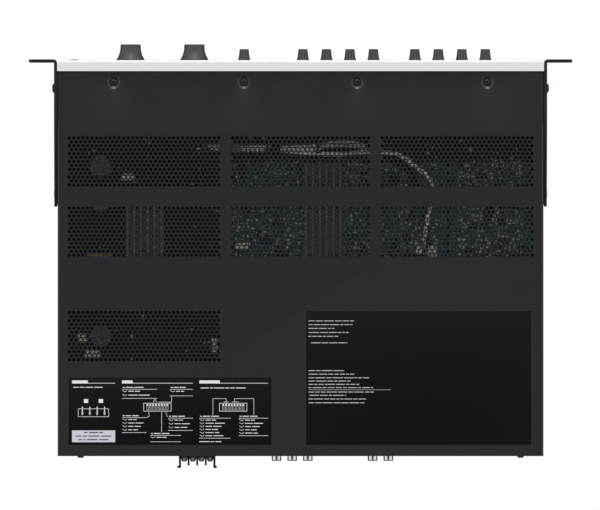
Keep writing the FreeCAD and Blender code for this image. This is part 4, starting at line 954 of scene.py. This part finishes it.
# what the small label holds: plain lines, rows of words, lists under a rule, and banks of switches
diagram = {
    "headings": ((3.0, 14.0, 41.1), (47.1, 9.4, 109.7), (115.5, 18.0, 176.0)),
    "words": ((4.0, 8.7, [5.0, 4.2, 6.6, 7.5]), (116.4, 9.3, [7.4, 3.0, 8.8, 3.2, 4.4, 8.6], 0.7),
              (115.4, 56.7, [9.0, 3.4, 5.2])),
    "lists": ((47.1, 10.5, 31.0, 2, 3.4), (89.4, 10.5, 20.3, 1, 4.6), (47.1, 35.5, 21.5, 4, 3.0),
              (87.9, 36.0, 21.8, 3, 3.2), (72.0, 51.2, 27.0, 1, 4.4), (115.3, 36.0, 27.8, 6, 2.75),
              (150.2, 36.0, 25.8, 5, 2.85)),
    "pill": (4.0, 2.7), "rule": (5.1, 0.4), "banks": ((66.3, 22.8), (133.2, 22.8)),
    "strip": (8.5, 27.7, 35.3, 34.7, 0.35), "terminals": (12.1, 18.7, 25.2, 31.7), "stem": (25.8, 33.2, 0.8),
    "bar": (31.6, 0.9), "jumpers": (15.4, 28.5), "jumper": (20.8, 1.9, 3.4),
    "lines": ((82.1, 30.2, 82.1, 48.2), (70.7, 30.2, 71.2, 34.2), (71.2, 34.2, 68.6, 35.5), (85.8, 30.2, 87.0, 34.8),
              (76.2, 19.1, 74.6, 22.0), (76.2, 19.1, 78.0, 22.0), (90.9, 16.4, 90.9, 21.8), (90.9, 21.8, 79.5, 21.8),
              (127.4, 18.7, 127.4, 33.4), (127.4, 18.7, 139.0, 18.7), (139.0, 18.7, 139.0, 22.4),
              (146.4, 18.7, 146.4, 22.4), (146.4, 18.7, 163.5, 18.7), (163.5, 18.7, 163.5, 33.4),
              (137.0, 21.6, 141.4, 21.6), (144.4, 21.6, 150.4, 21.6)),
    "note": (3.0, 52.0, 41.1, 52.0, 10.4), "noteMiddle": 22.0, "noteGap": 1.2, "noteHeight": 0.95,
    "noteWords": ((48.6, [3.0, 8.0, 3.0]), (51.8, [5.0, 4.0, 10.0, 9.0]), (55.0, [3.0, 2.0, 9.5, 8.5]))}
ink = frameOf(*diagram["strip"]) + strokesOf(*diagram["lines"])
(pillV, pillHeight), (ruleV, ruleWidth) = diagram["pill"], diagram["rule"]
for left, pill, right in diagram["headings"]:
    ink += strokesOf((left, pillV, left + pill, pillV, pillHeight), (left + pill, ruleV, right, ruleV, ruleWidth))
(low, high, thick), (barV, half) = diagram["stem"], diagram["bar"]
for u in diagram["terminals"]:
    ink += strokesOf((u, low, u, high, thick), (u - half, barV, u + half, barV, thick))
jumperV, half, thick = diagram["jumper"]
for u in diagram["jumpers"]:
    ink.append(stroke(u - half, jumperV, u + half, jumperV, thick))
for kind, draw in (("words", dashRow), ("lists", ruledList), ("banks", switchBank)):
    for item in diagram[kind]:
        ink += draw(*item)
printed("labelPrint", ink, "paleInk")
printed("notePanel", [stroke(*diagram["note"])], "noteInk")
note = []
for v, lengths in diagram["noteWords"]:
    u = diagram["noteMiddle"] - (sum(lengths) + diagram["noteGap"] * (len(lengths) - 1)) / 2
    note += dashRow(u, v, lengths, diagram["noteHeight"], diagram["noteGap"], film["ink"])
printed("notePrint", note, "darkInk")

# the large label: a painted highlight along its front edge and its edge towards the middle, a rule, and rows of dashes,
# each its distance from the front edge, its start and its end
plain = {"inset": 0.25, "border": 0.4, "height": 0.72, "margin": 2.7, "rule": (70.4, 75.5, 0.3), "words": (2.2, 9.5),
         "rows": ((9.6, 2.7, 42.9), (12.9, 2.7, 41.5), (16.2, 2.7, 25.6), (19.8, 2.7, 38.2), (23.2, 2.7, 28.9),
                  (28.9, 4.9, 36.9), (53.5, 2.7, 35.5), (56.6, 2.7, 43.1), (59.8, 2.7, 56.2), (62.7, 2.7, 39.9),
                  (65.6, 2.7, 48.8), (68.5, 2.7, 59.8), (72.4, 2.7, 60.4), (75.3, 3.5, 35.9), (78.5, 2.7, 54.8),
                  (81.9, 2.7, 53.8))}
highlightY, highlightX = film["largeFront"] + plain["inset"], film["largeRight"] - plain["inset"]
# painted highlight: two lighter lines along the film's front edge and its edge towards the middle
printed("plainLabelBorder", [
    lineBetween((film["largeLeft"], highlightY), (film["largeRight"], highlightY), plain["border"]),
    lineBetween((highlightX, film["largeFront"]), (highlightX, filmRear), plain["border"])], "darkInk")
random.seed(11)
across, back = filmRight - film["largeRight"], film["largeFront"] - film["front"]
down, end, width = plain["rule"]
dashes = [stroke(across + plain["margin"], back + down, across + end, back + down, width)]
for down, start, end in plain["rows"]:
    while start < end - 1:
        length = min(random.uniform(*plain["words"]), end - start)
        dashes.append(stroke(across + start, back + down, across + start + length, back + down, plain["height"]))
        start += length + film["gap"]
printed("plainLabelRows", dashes, "labelGrey")
print("labels laid")


# the rear: screw terminals, phono sockets, inlet and sockets

terminal = {"pitch": 7.62, "wall": 1.8, "innerWall": 1.65, "walls": 5, "base": 177.7, "innerEnd": 185.3, "bulb": 0.9,
            "hook": 1.3, "hookDepth": 2.0, "seat": 177.8, "head": 3.0, "rise": 4.2, "clampWide": 2.85,
            "clampHigh": 3.3, "clampDepths": (1.4, 0.5), "tips": 0.4, "bevel": 0.3, "sides": 24,
            "post": ((-4.5, 0), (-4.5, 1.5), (-0.6, 1.5), (-0.6, 2.9), (0.1, 2.9), (0.1, 0))}
terminalLow, terminalHigh = boxOf("speaker_terminals")
middleX, middleRise = (terminalLow.x + terminalHigh.x) / 2, (terminalLow.z + terminalHigh.z) / 2


def addTerminalBlock(bm, x0, x1, far, bevel=terminal["bevel"], near=terminalLow.y, segments=2):
    addBox(bm, (x0, near, terminalLow.z), (x1, far, terminalHigh.z), bevel, segments=segments)


def makeTerminalStrip():
    bm = bmesh.new()
    reach = (terminal["walls"] - 1) / 2 * terminal["pitch"]
    addTerminalBlock(bm, middleX - reach, middleX + reach, terminal["base"])
    for index in range(terminal["walls"]):
        x = middleX - reach + index * terminal["pitch"]
        outer = {0: -1, terminal["walls"] - 1: 1}.get(index, 0)
        half = terminal["wall" if outer else "innerWall"] / 2
        end = terminalHigh.y if outer else terminal["innerEnd"]
        addTerminalBlock(bm, x - half, x + half, end - terminal["tips"])
        if outer:
            low, high = sorted((x - outer * half, x + outer * (half + terminal["hook"])))
            addTerminalBlock(bm, low, high, end, 0.6, end - terminal["hookDepth"], 3)
        else:
            bulb, tall = terminal["bulb"], terminalHigh.z - terminalLow.z
            addLathe(bm, [(0, 0), (0, 0.6), (0.3, bulb), (tall - 0.3, bulb), (tall, 0.6), (tall, 0)], 16,
                     aim(Vector((x, end - bulb, terminalLow.z)), up))
    newPiece("terminalStrip", bm, "terminal_plastic", stands=["speaker_terminals"])


makeTerminalStrip()
terminalSpots = [((middleX + (index - 1.5) * terminal["pitch"], terminal["seat"], middleRise), rearward,
                  (1, 1, 1), 0.5 + index) for index in range(4)]
scatter("terminalScrews", crossHead(terminal["head"], terminal["rise"], "dome"), terminalSpots, "screw_bright",
        ["terminal_screws"])
bm = bmesh.new()
wide, high, (near, far) = terminal["clampWide"], terminal["clampHigh"], terminal["clampDepths"]
for (x, y, z), *_ in terminalSpots:
    addLathe(bm, terminal["post"], terminal["sides"], aim((x, y, z), rearward))
    addBox(bm, (x - wide, y - near, z - high), (x + wide, y - far, z + high), 0.2)
newPiece("terminalClamps", bm, "screw_bright")

phono = {"columns": (21.3, 7.45, -6.4, -63.85, -77.7), "rows": (24.3, 38.3), "front": 171.15, "tip": 181.3,
         "radius": 4.3, "bore": 3.35, "sides": 40, "root": -1.0, "blockMargin": 6.9, "blockBack": 1.25}
reach, wide, bore, root = phono["tip"] - phono["front"], phono["radius"], phono["bore"], phono["root"]
phonoSpots = [((x, phono["front"], z), rearward) for x in phono["columns"] for z in phono["rows"]]
scatter("phonoSleeves", latheMesh("phonoSleeve", [
    (root, bore), (root, wide), (reach - 0.75, wide), (reach - 0.5, wide - 0.12), (reach - 0.45, wide - 0.3),
    (reach - 0.45, bore + 0.05), (reach - 0.6, bore), (root, bore)], phono["sides"]), phonoSpots, "contact_metal",
    ["phono_shells"])
bm = bmesh.new()
for place, axis in phonoSpots:
    addLathe(bm, [(root, 0), (root, bore - 0.02), (reach - 0.55, bore - 0.02), (reach - 0.42, wide - 0.5),
                  (reach - 0.2, wide - 0.32), (reach, wide - 0.55), (reach, 1.9), (reach - 0.3, 1.7), (2.0, 1.6),
                  (2.0, 0)], phono["sides"], aim(place, axis))
blockLow, blockHigh = boxOf("phono_blocks")
for columns in (phono["columns"][:3], phono["columns"][3:]):
    addBox(bm, (min(columns) - phono["blockMargin"], blockLow.y, blockLow.z),
           (max(columns) + phono["blockMargin"], phono["front"] - phono["blockBack"], blockHigh.z), 0.5)
newPiece("phonoBlocks", bm, "terminal_plastic", stands=["phono_blocks"])

for name, node, width, segments, look in (
        ("mainsInlet", "mains_inlet", 0.5, 3, "terminal_plastic"),
        ("inletBlades", "inlet_blades", 0.4, 2, "contact_metal"),
        ("inputSockets", "input_sockets", 0.3, 2, "socket_green"),
        ("setupSwitches", "setup_switches", 0.12, 1, "switch_blue")):
    newPiece(name, softened(node, width, segments), look, stands=[node])
print("rear panel fitted")

foot = {"radius": 10.0, "low": 8.8, "height": 5.5, "sides": 48, "hollow": ((2.5, 0), (2.5, 3.0), (0, 3.2))}
(left, near, _), (right, far, _) = boxOf("rubber_feet")
radius, low, height = foot["radius"], foot["low"], foot["height"]
bm = bmesh.new()
addLathe(bm, [(0, 3.2), (0, low - 0.8), (0.3, low - 0.2), (1.0, low + 0.1), (height - 0.6, radius - 0.15),
              (height - 0.1, radius), (height, radius), (height, 0)], foot["sides"])
addLathe(bm, foot["hollow"], foot["sides"])
weld(bm)
scatter("feet", meshFrom(bm, "foot"), [((x, y, 0), up) for x in (left + radius, right - radius)
                                       for y in (near + radius, far - radius)], "foot_rubber", ["rubber_feet"])
print("feet set")


# under the lid: wires, plugs and the small parts on the boards

# sleeves: half length, inner and outer radius
harness = {"radius": 0.85, "twist": 2.0, "wander": 1.3, "middle": (-95.0, 72.9), "tape": (22.5,),
           "tapeSleeve": (4.6, 3.0, 3.8), "ties": (29.5, -15.5), "tieSleeve": (1.2, 3.1, 3.9),
           "tieHead": ((-2.2, 3.2, -2.6), (2.2, 6.6, 0.6))}
# each bundle: how many wires, how loosely they lie, where they turn dark, and the way they take
bundles = (
    (5, 2.0, -58.0, (
        (80, -97.4, 30.0), (80, -97.4, 33), (73, -97, 34), (65, -96, 38), (57, -95, 58), (48, -95, 73), (20, -95, 73),
        (0, -95, 73), (-14, -96, 72), (-26, -99, 66), (-40, -100, 56), (-60, -97, 46), (-86, -84, 42),
        (-102, -70, 40), (-112, -40, 40), (-110, -12, 40), (-110, -5.4, 38), (-110, -5.4, 30.0))),
    (3, 1.15, None, (
        (80, -97.4, 30.0), (80, -97.4, 32), (70, -94, 34), (58, -93.6, 46), (40, -93.6, 64), (20, -94, 70.5),
        (4, -92.2, 72), (-16, -90.2, 73), (-36, -89.7, 73), (-41, -90, 66), (-45, -91, 60), (-49, -92, 68),
        (-56, -92, 73), (-76, -92, 73), (-88, -90, 73), (-102, -79, 73), (-117, -67, 72), (-117, -52, 64),
        (-114, -40, 56), (-111, -26, 54), (-109, -12, 50), (-110, -5.4, 42), (-110, -5.4, 30.0))))


def routeCurve(points):
    curve = bpy.data.curves.new("route", "CURVE")
    curve.dimensions = "3D"
    line = curve.splines.new("NURBS")
    line.points.add(len(points) - 1)
    for spot, point in zip(line.points, points):
        spot.co = (*(Vector(point) * mm), 1)
    line.order_u, line.use_endpoint_u = 3, True
    return hostFor("route", curve)


bm = bmesh.new()
for count, spread, darkFrom, way in bundles:
    bm.from_mesh(grow(routeCurve(way), wireBundle, {
        "Wires": count, "Wire Radius": harness["radius"] * mm, "Spread": spread * mm, "Twist": harness["twist"],
        "Wander": harness["wander"] * mm, "Finish": finishes["wire_white"]}))
    if darkFrom is not None:
        for face in bm.faces:
            face.material_index = int(face.calc_center_median().x < darkFrom * mm)
newPiece("whiteWires", smoothed(rawMesh(bm, "whiteWires"), 40), ["wire_white", "tie_black"], stands=["wire_harness"])


def sleevesAt(places, half, inner, outer):
    bm = bmesh.new()
    for x in places:
        addLathe(bm, [(-half, inner), (-half, outer), (half, outer), (half, inner), (-half, inner)], 24,
                 aim((x, *harness["middle"]), (1, 0, 0)))
    weld(bm)
    return bm


newPiece("harnessTape", sleevesAt(harness["tape"], *harness["tapeSleeve"]), "tie_black")
bm = sleevesAt(harness["ties"], *harness["tieSleeve"])
for x in harness["ties"]:
    low, high = (Vector((x, *harness["middle"])) + Vector(corner) for corner in harness["tieHead"])
    addBox(bm, low, high, 0.4)
newPiece("cableTies", bm, "tie_black", stands=["cable_ties"])

sideBoard = {"low": (-205, -121.4), "high": (-131.5, 106.6), "post": 2.6, "postIn": (6, 8), "midPost": -8}
# the boards carry few parts at the mains end and along the front, and are darker there as painted shade
bare = {"end": 72, "front": -84, "share": 0.15}
boardLooks = ["board_green", "darkBoard"]


def isBare(x, y):
    return x > bare["end"] or y < bare["front"]


# paints the darker board tone, as painted shade, at the mains end and along the front
def shadedBoard(mesh):
    bm = bmeshOf(mesh)
    for place, across in (((bare["end"] * mm, 0, 0), (1, 0, 0)), ((0, bare["front"] * mm, 0), (0, 1, 0))):
        bmesh.ops.bisect_plane(bm, geom=bm.verts[:] + bm.edges[:] + bm.faces[:], plane_co=place, plane_no=across)
    for face in bm.faces:
        middle = face.calc_center_median() / mm
        face.material_index = int(isBare(middle.x, middle.y))
    return bm


boards = {name: boxOf(name) for name in ("amplifier_board", "power_board", "input_board")}
boardBase, boardTop = (corner.z for corner in boards["amplifier_board"])
boards["side_board"] = [Vector((*sideBoard["low"], boardBase)), Vector((*sideBoard["high"], boardTop))]
bm = bmesh.new()
addBox(bm, *boards["side_board"], 0.15, segments=1)
newPiece("sideBoard", shadedBoard(meshFrom(bm, "sideBoard")), boardLooks)
# the power board wholly in the darker tone, as painted shade
newPiece("powerBoard", softened("power_board", 0.15, 1), "darkBoard", stands=["power_board"])
newPiece("amplifierBoard", shadedBoard(softened("amplifier_board", 0.15, 1)), boardLooks, stands=["amplifier_board"])
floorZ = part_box("board_posts")[0].z / mm
rise, radius = boardBase - floorZ, sideBoard["post"]
(left, near), (right, far), (inX, inY) = sideBoard["low"], sideBoard["high"], sideBoard["postIn"]
bm = bmesh.new()
for x in (left + inX, right - inX):
    for y in (near + inY, sideBoard["midPost"], far - inY):
        addLathe(bm, [(0, 0), (0, radius), (rise, radius), (rise, 0)], 6, aim((x, y, floorZ), up))
newPiece("sideBoardPosts", bm, "post_brass")

taken = [boxOf(name) for name in ("power_transformer", "power_heatsink", "amplifier_heatsink", "output_coils")]

# small parts: how many, how far from the tall parts, the ranges of their three sizes, and their finish
litter = {"boardChips": (90, 4, ((3, 11), (3, 7), (1, 2.4)), "chipResin"),
          "boardBeads": (2500, 1.5, ((1.1, 3.2), (0.8, 1.8), (0.5, 1.4)), "tinnedLead")}
litterCourse = ("amplifier_board",) * 4 + ("side_board",) * 2 + ("power_board", "input_board")
litterEdge = 8
can = {"count": 46, "margin": 6, "width": (5, 10), "height": (0.9, 1.6), "sides": 16, "rings": (
    (0, 0), (0, 0.46), (0.06, 0.5), (0.92, 0.5), (1.0, 0.45), (1.0, 0.36), (0.97, 0.34), (0.97, 0))}


def boardSpots(count, margin, sizes):
    spots = []
    while len(spots) < count:
        low, high = boards[random.choice(litterCourse)]
        x = random.uniform(low.x + litterEdge, high.x - litterEdge)
        y = random.uniform(low.y + litterEdge, high.y - litterEdge)
        stretch = sizes()
        free = not any(low.x - margin < x < high.x + margin and low.y - margin < y < high.y + margin
                       for low, high in taken)
        if free and (not isBare(x, y) or random.random() < bare["share"]):
            spots.append(((x, y, boardTop), up, stretch, random.choice((0, math.pi / 2))))
    return spots


def beadMesh():
    bm = bmesh.new()
    addBox(bm, (-0.5, -0.5, 0), (0.5, 0.5, 1), 0.08, segments=1)
    return meshFrom(bm, "bead")


def canSize():
    width = random.uniform(*can["width"])
    return width, width, width * random.uniform(*can["height"])


random.seed(4)
for name, (count, margin, ranges, look) in litter.items():
    scatter(name, beadMesh(), boardSpots(count, margin, lambda: [random.uniform(*ends) for ends in ranges]), look)
scatter("boardCans", latheMesh("can", can["rings"], can["sides"]), boardSpots(can["count"], can["margin"], canSize),
        "capacitor_sleeve")

# plugs on the boards: place, width, depth and height
plug = {"pitch": 2.5, "half": 0.8, "rise": 0.6, "places": (
    (153, -70, 12, 6, 9), (184.5, 87, 14, 7, 12), (193.5, 72.5, 8, 9, 14), (76, 79, 5, 12, 9), (52, -9, 11, 5, 5),
    (-117, -3, 8, 8, 9), (-60, 20, 14, 5, 8), (-20, 66, 10, 5, 8), (60, 92, 14, 5, 8))}
bm = bmesh.new()
for x, y, wide, deep, high in plug["places"]:
    top, run, half = boardTop + high, max(wide, deep), plug["half"]
    addBox(bm, (x - wide / 2, y - deep / 2, boardTop), (x + wide / 2, y + deep / 2, top), 0.4)
    for index in range(int(run // plug["pitch"])):
        offset = (index + 0.5) * plug["pitch"] - run / 2
        px, py = (x + offset, y) if wide > deep else (x, y + offset)
        addBox(bm, (px - half, py - half, top - 0.05), (px + half, py + half, top + plug["rise"]), 0.15, segments=1)
newPiece("boardPlugs", bm, "plug_white")

plugs = softened("harness_plugs", 0.5, 2)
for face in plugs.polygons:
    face.material_index = int(face.center.x > 0)
newPiece("harnessPlugs", plugs, ["plug_white", "case_plastic"], stands=["harness_plugs"])
newPiece("transformer", softened("power_transformer", 0.6, 2), "ferrite_tape", stands=["power_transformer"])

# each ring: height and radius; the tops are bare discs with a raised cross
capacitor = {"spots": ((177, -79.4), (177, -49.4), (177, 70.6)), "sides": 40,
             "can": ((0, 0), (0, 10.6), (0.6, 11), (2.2, 11), (2.8, 10.6), (3.4, 11), (35, 11), (35.8, 10.7),
                     (36, 10.2), (36, 9.4), (35.6, 9.2), (35.6, 0)),
             "top": ((35.62, 0), (35.62, 9.1), (35.8, 9.0), (35.86, 0)), "cross": (6, 0.4), "crossZ": (35.7, 35.96)}
spots = [((*spot, boardTop), up) for spot in capacitor["spots"]]
scatter("powerCapacitors", latheMesh("capacitorCan", capacitor["can"], capacitor["sides"]), spots, "capacitor_sleeve",
        ["power_capacitors"])
bm = bmesh.new()
addLathe(bm, capacitor["top"], capacitor["sides"])
low, high = capacitor["crossZ"]
for long, wide in (capacitor["cross"], capacitor["cross"][::-1]):
    addBox(bm, (-long, -wide, low), (long, wide, high), 0.05, segments=1)
scatter("capacitorTops", meshFrom(bm, "capacitorTop"), spots, "can_aluminium")
print("inside filled")


# stage: pale floor, soft light from above and the front, camera above; lengths in metres

# the floor as reflections see it carries a painted shadow: dark near the object from shadeFrom to shadeTo, and dimmed
# by rearDim towards the rear
stage = {"floorHalf": 400, "floorColour": (0.86, 0.86, 0.86), "shadeFrom": 0.36, "shadeTo": 0.9, "shade": 0.03,
         "glow": 0.9, "lift": 0.05, "fill": 0.42, "topKey": 0.28, "topSoft": 14, "frontKey": 0.28, "frontSoft": 22,
         "frontTilt": 50, "overhead": 0.93, "cone": (0.76, 0.88), "rearDim": 0.85, "floorRear": (0.2, 0.5),
         "skyRear": (0.25, 0.7)}


def paths(tree):
    path = shaderNode(tree, "LightPath")
    return [path[title] for title in ("Is Camera Ray", "Is Glossy Ray", "Is Transmission Ray")]


def highest(tree, *values):
    found = values[-1]
    for value in values[-2::-1]:
        found = work(tree, "MAXIMUM", value, found)
    return found


def makeFloor():
    bm = bmesh.new()
    bmesh.ops.create_grid(bm, x_segments=1, y_segments=1, size=stage["floorHalf"])
    mesh = rawMesh(bm, "floor")
    look = bpy.data.materials.new("floorWhite")
    look.use_nodes = True
    tree = look.node_tree
    tree.nodes.clear()
    camera, glossy, through = paths(tree)
    place = placeOn(tree)
    # painted shadow: reflections see the floor dark near the object and dimmer towards the rear
    away = shaderNode(tree, "VectorMath", {0: place}, operation="LENGTH")["Value"]
    clear = ramp(tree, away, stage["shadeFrom"], stage["shadeTo"], stage["shade"])
    behind = ramp(tree, axisOf(tree, place, "Y"), *stage["floorRear"], 1.0, 1 - stage["rearDim"])
    bright = times(tree, clear, behind)
    seen = highest(tree, camera, times(tree, glossy, bright), through)
    hidden = times(tree, glossy, work(tree, "SUBTRACT", 1.0, bright))
    matte = shaderNode(tree, "BsdfDiffuse", {"Color": (*stage["floorColour"], 1)})[0]
    glow = shaderNode(tree, "Emission", {"Color": pale, "Strength": work(tree, "SUBTRACT", 1.0, hidden)})[0]
    share = highest(tree, times(tree, seen, stage["glow"]), hidden)
    mixed = shaderNode(tree, "MixShader", {0: share, 1: matte, 2: glow})[0]
    extra = shaderNode(tree, "Emission", {"Color": pale, "Strength": times(tree, seen, stage["lift"])})[0]
    whole = shaderNode(tree, "AddShader", {0: mixed, 1: extra})[0]
    shaderNode(tree, "OutputMaterial", {"Surface": whole})
    mesh.materials.append(look)
    hostFor("floor", mesh)


def makeKey(name, tilt, mirrored):
    sun = bpy.data.lights.new(name + "Key", "SUN")
    sun.energy = stage[name + "Key"] * math.pi / math.cos(math.radians(tilt))
    sun.angle = math.radians(stage[name + "Soft"])
    key = hostFor(name + "Key", sun)
    key.rotation_euler = (math.radians(tilt), 0, 0)
    key.visible_glossy = mirrored


def makeLight():
    world = bpy.data.worlds.new("studio")
    scene.world = world
    world.use_nodes = True
    tree = world.node_tree
    tree.nodes.clear()
    camera, glossy, through = paths(tree)
    level = work(tree, "MULTIPLY_ADD", highest(tree, camera, glossy, through), 1 - stage["fill"], stage["fill"])
    course = placeOn(tree, "Generated")
    above = ramp(tree, axisOf(tree, course, "Z"), *stage["cone"], 0.0, stage["overhead"])
    behind = ramp(tree, axisOf(tree, course, "Y"), *stage["skyRear"], 0.0, stage["rearDim"])
    dimmed = times(tree, highest(tree, above, behind), glossy)
    strength = times(tree, level, work(tree, "SUBTRACT", 1.0, dimmed))
    sky = shaderNode(tree, "Background", {"Color": pale, "Strength": strength})[0]
    shaderNode(tree, "OutputWorld", {"Surface": sky})
    makeKey("top", 0, False)
    makeKey("front", stage["frontTilt"], True)


viewpoint = {"lens": 1340, "sensor": 36, "height": 19.812, "x": 0.5, "y": -1.0, "clipEnd": 500}


def makeCamera():
    eye = bpy.data.cameras.new("overhead")
    eye.lens, eye.sensor_width, eye.clip_end = viewpoint["lens"], viewpoint["sensor"], viewpoint["clipEnd"]
    camera = hostFor("overhead", eye)
    camera.location = (viewpoint["x"] * mm, viewpoint["y"] * mm, viewpoint["height"])
    camera.rotation_euler = (0, 0, math.pi)
    scene.camera = camera


makeFloor()
makeLight()
makeCamera()
scene.view_settings.view_transform = "Standard"
print("stage ready")
